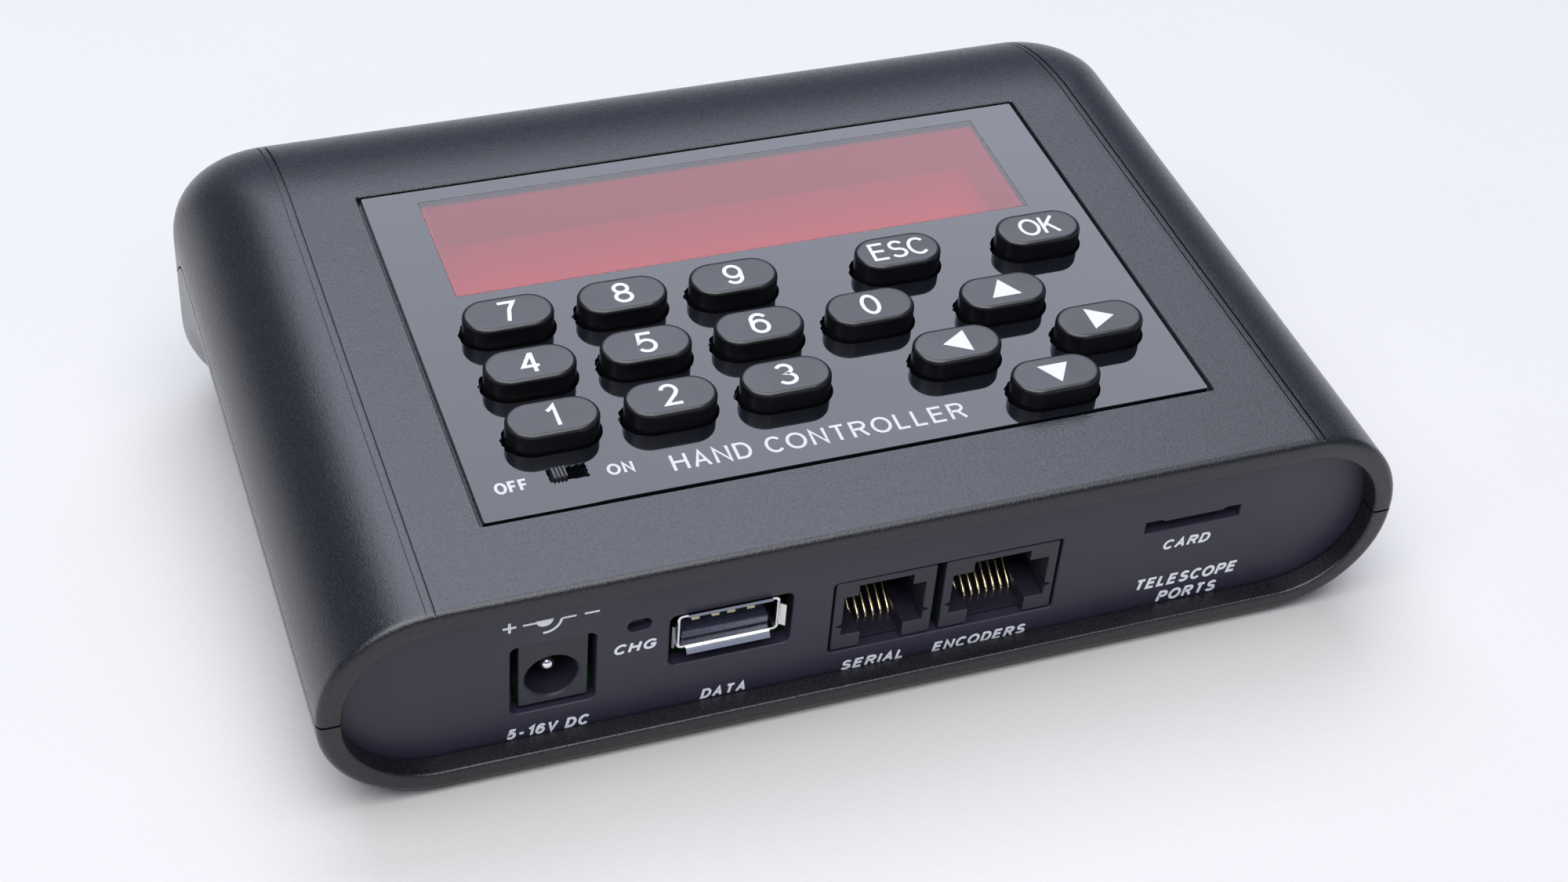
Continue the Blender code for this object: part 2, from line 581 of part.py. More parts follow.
def make_power_switch(frame, body_look, knob_look):
    x, y = POWER_SLOT_CENTRE
    bottom = KEYPAD_BOARD_TOP + FIT_GAP
    top = bottom + POWER_BODY[2]
    body = bmesh.new()
    add_prism(body, rounded_box(x, y, POWER_BODY[0], POWER_BODY[1]), "Z", bottom, top)
    housing = place("power_switch_body", body, body_look, parent=frame)
    slot = bmesh.new()
    add_prism(slot, rounded_box(x, y, KNOB_STEM + KNOB_TRAVEL + 2 * FIT_GAP, KNOB_STEM + 2 * FIT_GAP), "Z",
              bottom + POWER_BODY[2] / 2, 0.0)
    combine(housing, tool("power_stem_slot", slot, frame), "DIFFERENCE")

    start = x - KNOB_TRAVEL / 2
    knob = bmesh.new()
    add_prism(knob, rounded_box(0, 0, *KNOB_SIZE), "Z", top + FIT_GAP, KNOB_RISE)
    slider = place("power_switch_knob", knob, knob_look, (start, y, 0.0), frame)
    stem = bmesh.new()
    add_prism(stem, rounded_box(start, y, KNOB_STEM, KNOB_STEM), "Z",
              bottom + POWER_BODY[2] / 2 + FIT_GAP, top + 2 * FIT_GAP)
    combine(slider, tool("power_stem", stem, frame), "UNION")


def make_display(frame, glass_look, panel_look, board_look):
    top = -SHROUD_BOTTOM - FIT_GAP
    layers = (
        ("display_glass", glass_look, GLASS_THICKNESS, 0.0),
        ("display_panel", panel_look, PANEL_THICKNESS, PANEL_MARGIN),
        ("display_board", board_look, BOARD_THICKNESS, DISPLAY_BOARD_MARGIN),
    )
    for name, look, thickness, margin in layers:
        slab = bmesh.new()
        add_prism(slab, rounded_box(0, WINDOW_CENTRE_Y, WINDOW_SIZE[0] + 2 * margin,
                                    WINDOW_SIZE[1] + 2 * margin), "Z", top - thickness, top)
        place(name, slab, look, parent=frame)
        top -= thickness + FIT_GAP


def make_main_board(frame, look):
    plate = bmesh.new()
    low = (-MAIN_BOARD_SIZE[0] / 2, MAIN_BOARD_FRONT, MAIN_BOARD_TOP - BOARD_THICKNESS)
    high = (MAIN_BOARD_SIZE[0] / 2, MAIN_BOARD_FRONT + MAIN_BOARD_SIZE[1], MAIN_BOARD_TOP)
    add_box(plate, low, high)
    board = place("main_board", plate, look, parent=frame)
    holes = bmesh.new()
    for x, y in board_screw_places():
        add_prism(holes, circle(x, y, SCREW_RADIUS + FIT_GAP, 12), "Z", -FAR, 0.0)
    combine(board, tool("main_board_holes", holes, frame), "DIFFERENCE")


def make_battery(frame, cell_look, holder_look):
    """Two round cells end to end across the heel, in a tray with a wall at each end."""
    y = CASE_REAR - CELL_TO_REAR
    z = -TOP_HEIGHT - CELL_UNDER_SEAM
    for number, side in enumerate((-1, 1), 1):
        cell = bmesh.new()
        add_prism(cell, circle(0, 0, CELL_RADIUS), "X", -CELL_LENGTH / 2, CELL_LENGTH / 2)
        place(f"battery_cell_{number}", cell, cell_look, (side * (CELL_LENGTH + FIT_GAP) / 2, y, z), frame)
    row = CELL_LENGTH + FIT_GAP
    tray = bmesh.new()
    reach = CELL_RADIUS + FIT_GAP
    outline = [(y + (reach + HOLDER_WALL) * math.cos(math.pi * (1 + k / 10)),
                z + (reach + HOLDER_WALL) * math.sin(math.pi * (1 + k / 10))) for k in range(11)]
    add_prism(tray, outline, "X", -row - HOLDER_WALL, row + HOLDER_WALL)
    holder = place("battery_holder", tray, holder_look, parent=frame)
    trough = bmesh.new()
    add_prism(trough, circle(y, z, reach), "X", -row, row)
    combine(holder, tool("battery_trough", trough, frame), "DIFFERENCE")


# ---- Connectors ----
def make_modular_jack(frame, name, spec, look, contact_look):
    """A modular jack: plug cavity, latch notch over it, and contacts rising from a slot under it."""
    x = spec["x"]
    block = bmesh.new()
    add_box(block, (x - spec["width"] / 2, JACK_FACE, JACK_BOTTOM),
            (x + spec["width"] / 2, JACK_FACE + JACK_DEPTH, JACK_TOP))
    jack = place(f"{name}_jack", block, look, parent=frame)
    plug_high = (JACK_BOTTOM + JACK_TOP + PLUG_HEIGHT) / 2 - PLUG_DROP
    plug_low = plug_high - PLUG_HEIGHT
    latch = spec["latch"] / 2
    half = spec["plug"] / 2
    cavity = bmesh.new()
    outline = [(x - half, plug_low), (x + half, plug_low), (x + half, plug_high), (x + latch, plug_high),
               (x + latch, plug_high + LATCH_HEIGHT), (x - latch, plug_high + LATCH_HEIGHT),
               (x - latch, plug_high), (x - half, plug_high)]
    add_prism(cavity, outline, "Y", -RIM_DEPTH, JACK_FACE + PLUG_DEPTH)
    combine(jack, tool(f"{name}_cavity", cavity, frame), "DIFFERENCE")
    slot = bmesh.new()
    contact_half = (CONTACT_PITCH * (spec["ways"] - 1) + CONTACT_WIDTH) / 2 + FIT_GAP / 3
    add_box(slot, (x - contact_half, -RIM_DEPTH, JACK_BOTTOM + JACK_FLOOR),
            (x + contact_half, JACK_FACE + PLUG_DEPTH, plug_low + FIT_GAP))
    combine(jack, tool(f"{name}_contact_slot", slot, frame), "DIFFERENCE")
    springs = bmesh.new()
    outline = comb(0, CONTACT_REACH, spec["ways"], CONTACT_PITCH, CONTACT_WIDTH, CONTACT_REACH,
                   CONTACT_SPINE)
    add_prism(springs, outline, "Z", -CONTACT_THICKNESS / 2, CONTACT_THICKNESS / 2)
    contacts = place(f"{name}_contacts", springs, contact_look,
                     (x, JACK_FACE + CONTACT_TIP[0], JACK_BOTTOM + CONTACT_TIP[1]), frame)
    contacts.rotation_euler = (math.radians(CONTACT_RISE), 0, 0)


def make_power_jack(frame, look, pin_look):
    half = POWER_JACK_WIDTH / 2
    block = bmesh.new()
    add_box(block, (POWER_JACK_X - half, PANEL_DEPTH + FIT_GAP, JACK_BOTTOM),
            (POWER_JACK_X + half, POWER_JACK_DEPTH, POWER_JACK_TOP))
    jack = place("power_jack", block, look, parent=frame)
    neck = bmesh.new()
    add_box(neck, (POWER_JACK_X - half + FIT_GAP / 3, JACK_FACE, POWER_JACK_TOP - POWER_JACK_NECK),
            (POWER_JACK_X + half - FIT_GAP / 3, PANEL_DEPTH + 2 * FIT_GAP, POWER_JACK_TOP - FIT_GAP / 3))
    combine(jack, tool("power_neck", neck, frame), "UNION")
    bore = bmesh.new()
    add_prism(bore, circle(POWER_JACK_X, POWER_BORE_Z, POWER_BORE), "Y", -RIM_DEPTH, POWER_BORE_DEPTH)
    combine(jack, tool("power_bore", bore, frame), "DIFFERENCE")
    pin = bmesh.new()
    add_prism(pin, circle(0, 0, POWER_PIN, 16), "Y", 0.0, POWER_BORE_DEPTH - POWER_PIN_FRONT - FIT_GAP)
    place("power_jack_pin", pin, pin_look, (POWER_JACK_X, POWER_PIN_FRONT, POWER_BORE_Z), frame)


def make_usb_port(frame, shell_look, tongue_look):
    """The metal sleeve of the port, and the plastic block behind it that carries the tongue."""
    sleeve = bmesh.new()
    add_prism(sleeve, rounded_box(USB_X, USB_SHELL_Z, *USB_SHELL, 0.6 * MM, 2), "Y", -0.3 * MM, USB_DEPTH)
    shell = place("usb_shell", sleeve, shell_look, parent=frame)
    inside = [size - 2 * USB_SHEET for size in USB_SHELL]
    bore = bmesh.new()
    add_prism(bore, rounded_box(USB_X, USB_SHELL_Z, *inside, 0.3 * MM, 2), "Y", -RIM_DEPTH, 2 * USB_DEPTH)
    combine(shell, tool("usb_bore", bore, frame), "DIFFERENCE")

    block_front = USB_TONGUE[2] + 1.0 * MM
    block = bmesh.new()
    add_box(block, (USB_X - inside[0] / 2 + FIT_GAP, block_front, USB_SHELL_Z - inside[1] / 2 + FIT_GAP),
            (USB_X + inside[0] / 2 - FIT_GAP, USB_DEPTH + USB_CARRIER, USB_SHELL_Z + inside[1] / 2 - FIT_GAP))
    carrier = place("usb_tongue", block, tongue_look, parent=frame)
    extra = bmesh.new()
    tongue_z = USB_SHELL_Z - USB_TONGUE_DROP
    add_box(extra, (USB_X - USB_TONGUE[0] / 2, 1.0 * MM, tongue_z - USB_TONGUE[1] / 2),
            (USB_X + USB_TONGUE[0] / 2, block_front + FIT_GAP, tongue_z + USB_TONGUE[1] / 2))
    add_box(extra, (USB_X - inside[0] / 2 + FIT_GAP, USB_DEPTH + FIT_GAP, JACK_BOTTOM),
            (USB_X + inside[0] / 2 - FIT_GAP, USB_DEPTH + USB_CARRIER + 0.5 * MM, USB_SHELL_Z))
    combine(carrier, tool("usb_tongue_parts", extra, frame), "UNION")


def make_card_slot(frame, shell_look, board_look):
    front = PANEL_DEPTH + FIT_GAP
    thickness = CARD_SLOT[1] + 0.4 * MM
    width = CARD_SLOT[0] + 1.6 * MM
    cover = bmesh.new()
    add_box(cover, (CARD_X - width / 2, front, CARD_Z - thickness / 2),
            (CARD_X + width / 2, front + CARD_DEPTH, CARD_Z + thickness / 2))
    socket = place("card_socket", cover, shell_look, parent=frame)
    slot = bmesh.new()
    add_box(slot, (CARD_X - CARD_WAY[0] / 2, 0.0, CARD_Z - CARD_WAY[1] / 2),
            (CARD_X + CARD_WAY[0] / 2, front + CARD_DEPTH - CARD_BACK, CARD_Z + CARD_WAY[1] / 2))
    combine(socket, tool("card_way", slot, frame), "DIFFERENCE")
    riser = bmesh.new()
    top = CARD_Z - thickness / 2 - FIT_GAP
    add_box(riser, (CARD_X - width / 2, front, top - BOARD_THICKNESS),
            (CARD_X + width / 2, front + CARD_DEPTH + 3.0 * MM, top))
    place("card_board", riser, board_look, parent=frame)


def make_charge_light(frame, look):
    pipe = bmesh.new()
    add_prism(pipe, stadium(0, 0, LIGHT_SIZE[0] - 2 * FIT_GAP, LIGHT_SIZE[1] - 2 * FIT_GAP, 4), "Y",
              0.0, 5.0 * MM)
    place("charge_light", pipe, look, (LIGHT_X, 0.4 * MM, LIGHT_Z), frame)


# ---- Fasteners and feet ----
def make_screw(frame, name, place_at, length, look):
    """A pan-head screw, head down at its origin, shank pointing up, with a hex socket."""
    screw = bmesh.new()
    add_rings(screw, [[Vector((x, y, z)) for x, y in circle(0, 0, radius, 16)] for z, radius in (
        (0.0, SCREW_HEAD * 0.8), (SCREW_HEAD_HEIGHT * 0.3, SCREW_HEAD), (SCREW_HEAD_HEIGHT, SCREW_HEAD),
        (SCREW_HEAD_HEIGHT, SCREW_RADIUS), (length, SCREW_RADIUS))])
    made = place(name, screw, look, place_at, frame)
    socket = bmesh.new()
    add_prism(socket, circle(0, 0, SCREW_HEAD * 0.45, 6), "Z", -SCREW_HEAD_HEIGHT, SCREW_HEAD_HEIGHT * 0.6)
    combine(made, tool(f"{name}_socket", socket, made), "DIFFERENCE")
    return made


def make_fasteners(frame, look):
    case_z = CASE_BOTTOM + HEAD_RECESS - SCREW_HEAD_HEIGHT - FIT_GAP
    case_length = -TOP_HEIGHT + SCREW_ENGAGEMENT - case_z
    for number, (x, y) in enumerate(case_screw_places(), 1):
        make_screw(frame, f"case_screw_{number}", (x, y, case_z), case_length, look)
    board_z = MAIN_BOARD_TOP + FIT_GAP + SCREW_HEAD_HEIGHT
    board_length = board_z - CASE_BOTTOM - WALL / 2 - FIT_GAP
    for number, (x, y) in enumerate(board_screw_places(), 1):
        screw = make_screw(frame, f"board_screw_{number}", (x, y, board_z), board_length, look)
        screw.rotation_euler = (math.pi, 0, 0)


def make_feet(frame, look):
    """Four domed rubber bumpers; the two at the rear sit lower, on the heel."""
    rings = []
    steps = 5
    reach = math.asin(FOOT_RADIUS / FOOT_SPHERE)
    for k in range(steps):
        angle = reach * (1 - k / steps)
        rings.append([Vector((x, y, FOOT_SPHERE - FOOT_HEIGHT - FOOT_SPHERE * math.cos(angle)))
                      for x, y in circle(0, 0, FOOT_SPHERE * math.sin(angle), 20)])
    for number, y in enumerate(FOOT_Y):
        for side in (-1, 1):
            dome = bmesh.new()
            add_rings(dome, rings)
            z = CASE_BOTTOM - heel_drop(y) - FIT_GAP
            place(f"foot_{2 * number + (side + 1) // 2 + 1}", dome, look, (side * FOOT_X, y, z), frame)


def set_on_table(frame):
    """Leans the case until all four feet touch the ground and centres it over the origin."""
    lean = math.atan2(heel_drop(FOOT_Y[1]) - heel_drop(FOOT_Y[0]), FOOT_Y[1] - FOOT_Y[0])
    frame.rotation_euler = (lean, 0, 0)
    bpy.context.view_layer.update()
    lowest = min(point.z for point in foot_points(frame))
    front = min(point.y for point in case_points(frame))
    rear = max(point.y for point in case_points(frame))
    frame.location = (0, -(front + rear) / 2, -lowest)


def case_points(frame):
    shell = bpy.data.objects["bottom_shell"]
    return [shell.matrix_world @ vertex.co for vertex in shell.data.vertices]


def foot_points(frame):
    return [piece.matrix_world @ vertex.co for piece in frame.children if piece.name.startswith("foot_")
            for vertex in piece.data.vertices]


def main():
    for old in list(bpy.data.objects):
        bpy.data.objects.remove(old)
    frame = bpy.data.objects.new("case_frame", None)
    bpy.context.scene.collection.objects.link(frame)

    shell = material("case_plastic", (0.035, 0.038, 0.045), 0.55)
    panel = material("panel_plastic", (0.03, 0.028, 0.035), 0.5)
    sheet = material("overlay_sheet", (0.05, 0.052, 0.06), 0.15)
    window = material("red_window", (0.55, 0.06, 0.08), 0.1, alpha=0.5)
    keycap = material("keycap", (0.02, 0.02, 0.024), 0.4)
    board = material("circuit_board", (0.02, 0.16, 0.06), 0.5)
    glass = material("display_glass", (0.03, 0.03, 0.035), 0.08)
    black = material("black_plastic", (0.015, 0.015, 0.018), 0.4)
    steel = material("steel", (0.6, 0.6, 0.62), 0.3, 1.0)
    gold = material("gold", (0.8, 0.6, 0.25), 0.25, 1.0)
    rubber = material("rubber", (0.02, 0.02, 0.02), 0.85)
    blue = material("tongue_plastic", (0.12, 0.16, 0.28), 0.4)
    lens = material("light_lens", (0.75, 0.75, 0.72), 0.2)
    cell = material("cell_wrap", (0.05, 0.2, 0.5), 0.35)

    make_top_shell(frame, shell)
    make_bottom_shell(frame, shell)
    make_port_panel(frame, panel)
    make_overlay(frame, sheet, window)
    make_keys(frame, keycap)
    make_keypad_board(frame, board)
    make_power_switch(frame, black, keycap)
    make_display(frame, glass, black, board)
    make_main_board(frame, board)
    make_battery(frame, cell, black)
    for name, spec in JACKS.items():
        make_modular_jack(frame, name, spec, black, gold)
    make_power_jack(frame, black, steel)
    make_usb_port(frame, steel, blue)
    make_card_slot(frame, steel, board)
    make_charge_light(frame, lens)
    make_fasteners(frame, steel)
    make_feet(frame, rubber)
    set_on_table(frame)


main()
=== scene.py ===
"""Looks of the telescope hand controller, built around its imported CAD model.

Pieces are drawn in the case's own frame, which leans back on the table: X runs along the port side,
Y from the port panel to the rear, Z is the height over the top face. Lengths are in metres.
"""
import json
import random
from math import asin, cos, dist, hypot, pi, radians, sin, tau

import bmesh
import bpy
from mathutils import Matrix, Vector


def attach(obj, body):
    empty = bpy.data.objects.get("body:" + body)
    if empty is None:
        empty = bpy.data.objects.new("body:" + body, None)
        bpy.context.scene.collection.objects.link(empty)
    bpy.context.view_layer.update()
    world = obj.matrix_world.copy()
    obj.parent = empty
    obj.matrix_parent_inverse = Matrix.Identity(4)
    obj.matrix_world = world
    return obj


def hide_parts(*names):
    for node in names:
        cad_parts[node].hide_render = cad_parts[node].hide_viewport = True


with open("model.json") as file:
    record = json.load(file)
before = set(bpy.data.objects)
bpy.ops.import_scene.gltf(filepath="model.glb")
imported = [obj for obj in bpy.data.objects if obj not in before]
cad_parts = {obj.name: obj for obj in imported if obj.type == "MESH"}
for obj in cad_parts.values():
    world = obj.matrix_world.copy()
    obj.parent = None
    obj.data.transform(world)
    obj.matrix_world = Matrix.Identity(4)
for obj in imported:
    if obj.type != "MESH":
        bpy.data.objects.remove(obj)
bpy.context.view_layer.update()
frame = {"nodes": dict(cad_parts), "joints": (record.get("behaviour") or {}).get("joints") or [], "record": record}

MM = 0.001
RECORD = frame["record"]


# ---- The case frame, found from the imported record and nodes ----
def find_case_frame():
    """The matrix from the case frame to the row frame: Z is against the keys' travel."""
    press = next(joint for joint in frame["joints"] if joint["name"].endswith("_press"))
    up = -Vector(press["axis"]).normalized()
    right = Vector((1, 0, 0))
    turn = Matrix((right, up.cross(right), up)).transposed()
    back = turn.transposed()
    front = min((back @ v.co).y for v in frame["nodes"]["port_panel"].data.vertices)
    top = max((back @ v.co).z for v in frame["nodes"]["top_shell"].data.vertices)
    return Matrix.Translation(turn @ Vector((0, front, top))) @ turn.to_4x4()


CASE = find_case_frame()
CASE_INVERSE = CASE.inverted()


def local_box(node):
    """(lowest corner, highest corner) of a CAD node in the case frame."""
    points = [CASE_INVERSE @ v.co for v in frame["nodes"][node].data.vertices]
    return (Vector(min(p[k] for p in points) for k in range(3)),
            Vector(max(p[k] for p in points) for k in range(3)))


def middle(node):
    low, high = local_box(node)
    return (low + high) / 2


# ---- Measures of the case ----
TOP_LOW, TOP_HIGH = local_box("top_shell")
BASE_HIGH = local_box("bottom_shell")[1]
PANEL_HIGH = local_box("port_panel")[1]
CASE_FLAT_HALF = 55.3 * MM
CASE_SIDE_BULGE = TOP_HIGH.x - CASE_FLAT_HALF
TOP_HEIGHT = 14.7 * MM
STRAIGHT_BAND = 0.8 * MM
BOTTOM_HEIGHT = 13.9 * MM
RIM_FRONT = TOP_LOW.y
REAR_LENGTH = 26.4 * MM
CASE_REAR = BASE_HIGH.y
REAR_START = CASE_REAR - REAR_LENGTH
REAR_BOTTOM_ROUND = 5.0 * MM
CORNER_TOP, CORNER_SIDE, CORNER_BOTTOM = 3.0 * MM, 13.0 * MM, 7.0 * MM
WALL = 2.2 * MM
LIP_WALL = 2.9 * MM
HEEL_LENGTH = 29.5 * MM
HEEL_START = CASE_REAR - HEEL_LENGTH
HEEL_RAMP = 17.5 * MM
HEEL_DEPTH = 13.0 * MM
PARTING_DIP = 8.8 * MM
PARTING_DIP_LENGTH = 13.0 * MM
PARTING_DIP_START = CASE_REAR - 6.5 * MM - PARTING_DIP_LENGTH
SEAM_GAP = 0.34 * MM
RIM_ROUND = 1.0 * MM
LIP_ROUND = 0.35 * MM
FLAT_EDGE = 0.4 * MM             # first strip of a flat face beside a round edge
BAND_BOTTOM = -TOP_HEIGHT - STRAIGHT_BAND
CASE_BOTTOM = BAND_BOTTOM - BOTTOM_HEIGHT
FAR = 0.09                       # beyond the case on every side
AHEAD = -2 * MM                  # where the cutters of the port panel start

LEVELS = 22
CORNER_STEPS = 14
SIDE_POINTS = 26
ROUND_STEPS = 7
LIP_STEPS = 5
DIP_STEPS = 16
GROOVE_STEPS = 18
GROOVE_STEP_ANGLE = radians(4.4)
# Each groove's place across the case, half width and depth, in mm.
GROOVES = ((-56.7, 0.19, 0.26), (-55.75, 0.32, 0.4), (55.88, 0.19, 0.26), (56.84, 0.32, 0.4))

OVERLAY_LOW, OVERLAY_HIGH = local_box("keypad_overlay")
OVERLAY_MID = (OVERLAY_LOW + OVERLAY_HIGH) / 2
OVERLAY_SIZE = (OVERLAY_HIGH.x - OVERLAY_LOW.x, OVERLAY_HIGH.y - OVERLAY_LOW.y)
OVERLAY_CORNER = 0.3 * MM
RECESS_EDGE = 0.12 * MM
RECESS_GROW = 0.5 * MM
RECESS_DEPTH = 0.9 * MM
WINDOW_LOW, WINDOW_HIGH = local_box("display_window")
WINDOW_MID = (WINDOW_LOW + WINDOW_HIGH) / 2
WINDOW_SIZE = (80.0 * MM, 21.0 * MM)
SHROUD_WALL = 1.6 * MM
SHROUD_BOTTOM = 7.4 * MM

KEYS = sorted(name for name in frame["nodes"] if name.startswith("key_"))
KEY_LENGTH, KEY_WIDTH = 11.7 * MM, 6.45 * MM
KEY_GAP = 0.35 * MM
KEY_EDGE = 0.6 * MM
KEY_RISE = local_box("key_5")[1].z

CASE_SCREWS = [f"case_screw_{n}" for n in range(1, 5)]
BOARD_SCREWS = [f"board_screw_{n}" for n in range(1, 5)]
FEET = [f"foot_{n}" for n in range(1, 5)]
POST_RADIUS = 3.3 * MM
SCREW_HOLE = 1.5 * MM
SCREW_HOLE_TOP = -7.4 * MM
SCREW_HOLE_SIDES = 20
HEAD_HOLE = 2.8 * MM
SCREW_HEAD = 1.6 * MM
# Height and radius in mm along the head, from its drive to the neck.
SCREW_HEAD_PROFILE = ((0.0, 1.7), (0.08, 2.1), (0.35, 2.42), (0.7, 2.5), (1.6, 2.5), (1.6, 1.25))
SCREW_TURNS = 12
DRIVE_SIZE = (2.6 * MM, 0.55 * MM)
DOME_STEPS = 10


# ---- Outlines, closed lists of 2-D points ----
def quarter_turn(steps, first=0):
    """(sine, cosine) at even steps through a right angle."""
    angles = [pi / 2 * k / steps for k in range(first, steps + 1)]
    return [(sin(angle), cos(angle)) for angle in angles]


def circle(x, y, radius, sides=40):
    turns = [tau * k / sides for k in range(sides)]
    return [(x + radius * cos(turn), y + radius * sin(turn)) for turn in turns]


def rounded_box(x, y, width, height, radius=0.0, steps=6):
    if radius <= 0:
        corners = ((-1, -1), (1, -1), (1, 1), (-1, 1))
        return [(x + sx * width / 2, y + sy * height / 2) for sx, sy in corners]
    points = []
    for quarter, (sx, sy) in enumerate(((1, 1), (-1, 1), (-1, -1), (1, -1))):
        for k in range(steps + 1):
            angle = pi / 2 * (quarter + k / steps)
            points.append((x + sx * (width / 2 - radius) + radius * cos(angle),
                           y + sy * (height / 2 - radius) + radius * sin(angle)))
    return points


def stadium(x, y, length, width, steps=16):
    radius = width / 2
    half = length / 2 - radius
    points = []
    for side in (1, -1):
        for k in range(steps + 1):
            angle = pi * (k / steps - 0.5) + (0 if side > 0 else pi)
            points.append((x + side * half + radius * cos(angle), y + radius * sin(angle)))
    return points


def grown_box(x, y, width, height, radius=0.0, corner_grows=False):
    """Outline function for add_levels: a box that is wider by its argument on every side."""
    def outline(grow):
        corner = radius + grow if corner_grows else radius
        return rounded_box(x, y, width + 2 * grow, height + 2 * grow, corner)
    return outline


def grown_stadium(x, y, length, width, steps=16):
    """Outline function for add_levels: a stadium that is wider by its argument on every side."""
    return lambda grow: stadium(x, y, length + 2 * grow, width + 2 * grow, steps)


def ragged(outline, amount, step, seed):
    """The outline with points every step, each pushed in or out a little, like a rough cut."""
    draw = random.Random(seed)
    points = []
    for (ax, ay), (bx, by) in zip(outline, outline[1:] + outline[:1]):
        length = hypot(bx - ax, by - ay)
        pieces = max(1, round(length / step))
        for k in range(pieces):
            t = k / pieces
            push = draw.uniform(-amount, amount)
            points.append((ax + (bx - ax) * t - (by - ay) / length * push,
                           ay + (by - ay) * t + (bx - ax) / length * push))
    return points


# ---- Mesh builders ----
def on_axis(axis, u, v, along):
    if axis == "X":
        return Vector((along, u, v))
    if axis == "Y":
        return Vector((u, along, v))
    return Vector((u, v, along))


def add_rings(mesh, rings, caps="flat"):
    """Skins closed rings of equal length. Strip caps suit ends that aren't flat; a loop needs no caps."""
    grid = [[mesh.verts.new(point) for point in ring] for ring in rings]
    count = len(rings[0])
    for low, high in zip(grid, grid[1:] + (grid[:1] if caps == "loop" else [])):
        for k in range(count):
            mesh.faces.new((low[k], low[(k + 1) % count], high[(k + 1) % count], high[k]))
    for ring in () if caps == "loop" else (grid[0], grid[-1]):
        if caps == "strip":
            for k in range(count // 2 - 1):
                mesh.faces.new((ring[k], ring[k + 1], ring[count - 2 - k], ring[count - 1 - k]))
        else:
            mesh.faces.new(ring)


def add_prism(mesh, outline, axis, start, end):
    add_rings(mesh, [[on_axis(axis, u, v, along) for u, v in outline] for along in (start, end)])


def add_levels(mesh, outline_at, axis, levels):
    """A prism whose outline changes on the way: levels are (place on the axis, argument of outline_at)."""
    add_rings(mesh, [[on_axis(axis, u, v, along) for u, v in outline_at(grow)] for along, grow in levels])


def prism(outline, axis, start, end):
    """A new mesh that holds one prism."""
    mesh = bmesh.new()
    add_prism(mesh, outline, axis, start, end)
    return mesh


def stack(outline_at, axis, levels):
    """A new mesh that holds one prism whose outline changes on the way."""
    mesh = bmesh.new()
    add_levels(mesh, outline_at, axis, levels)
    return mesh


def add_box(mesh, low, high):
    mid = [(a + b) / 2 for a, b in zip(low, high)]
    outline = rounded_box(mid[0], mid[1], high[0] - low[0], high[1] - low[1])
    add_prism(mesh, outline, "Z", low[2], high[2])


def add_tube(mesh, path, radius, sides=8):
    """A round wire along a path in one YZ plane."""
    across = Vector((1, 0, 0))
    rings = []
    for k, point in enumerate(path):
        ahead = (path[min(k + 1, len(path) - 1)] - path[max(k - 1, 0)]).normalized()
        up = ahead.cross(across)
        rings.append([point + radius * (across * cos(a) + up * sin(a))
                      for a in (tau * s / sides for s in range(sides))])
    add_rings(mesh, rings)


def offsets(path, thickness, closed=False):
    """For each point of a 2-D path, the mitred step to the left edge of a stroke of that thickness."""
    count = len(path)
    steps = []
    for k in range(count):
        normals = []
        for a, b in ((k - 1, k), (k, k + 1)):
            if closed or (a >= 0 and b < count):
                du, dv = (path[b % count][i] - path[a % count][i] for i in (0, 1))
                length = hypot(du, dv)
                normals.append(Vector((-dv / length, du / length)))
        mean = sum(normals, Vector((0, 0))).normalized()
        steps.append(mean * thickness / 2 / max(mean.dot(normals[0]), 0.45))
    return steps


def thick_path(path, thickness):
    """Closed outline of a sheet of even thickness along a 2-D path."""
    steps = offsets(path, thickness)
    left = [(u + step.x, v + step.y) for (u, v), step in zip(path, steps)]
    right = [(u - step.x, v - step.y) for (u, v), step in zip(path, steps)]
    return left + right[::-1]


def add_stroke(mesh, path, thickness, half_sheet, to_point):
    """A flat pen stroke; to_point turns (u, v, height over the middle of the sheet) into a place."""
    closed = dist(path[0], path[-1]) < 1e-6
    path = path[:-1] if closed else path
    rings = []
    for (u, v), step in zip(path, offsets(path, thickness, closed)):
        rings.append([to_point(u + edge * step.x, v + edge * step.y, side * half_sheet)
                      for edge, side in ((1, 1), (-1, 1), (-1, -1), (1, -1))])
    add_rings(mesh, rings, "loop" if closed else "flat")


# ---- Objects ----
def link_object(name, data):
    """A new object in the scene."""
    piece = bpy.data.objects.new(name, data)
    bpy.context.scene.collection.objects.link(piece)
    return piece


def make(name, mesh, look, smooth=35):
    """Turns a bmesh drawn in the case frame into an object in its place."""
    bmesh.ops.recalc_face_normals(mesh, faces=mesh.faces)
    mesh.transform(CASE)
    data = bpy.data.meshes.new(name)
    mesh.to_mesh(data)
    mesh.free()
    piece = link_object(name, data)
    if look:
        data.materials.append(LOOKS[look])
    finish_shading(piece, smooth)
    return piece


def finish_shading(piece, smooth):
    piece.data.shade_smooth()
    piece.data.set_sharp_from_angle(angle=radians(smooth))


def bake_modifiers(piece, smooth=35):
    """Applies the modifiers of a piece to its mesh."""
    bpy.context.view_layer.update()
    graph = bpy.context.evaluated_depsgraph_get()
    data = bpy.data.meshes.new_from_object(piece.evaluated_get(graph), depsgraph=graph)
    piece.modifiers.clear()
    piece.data = data
    finish_shading(piece, smooth)


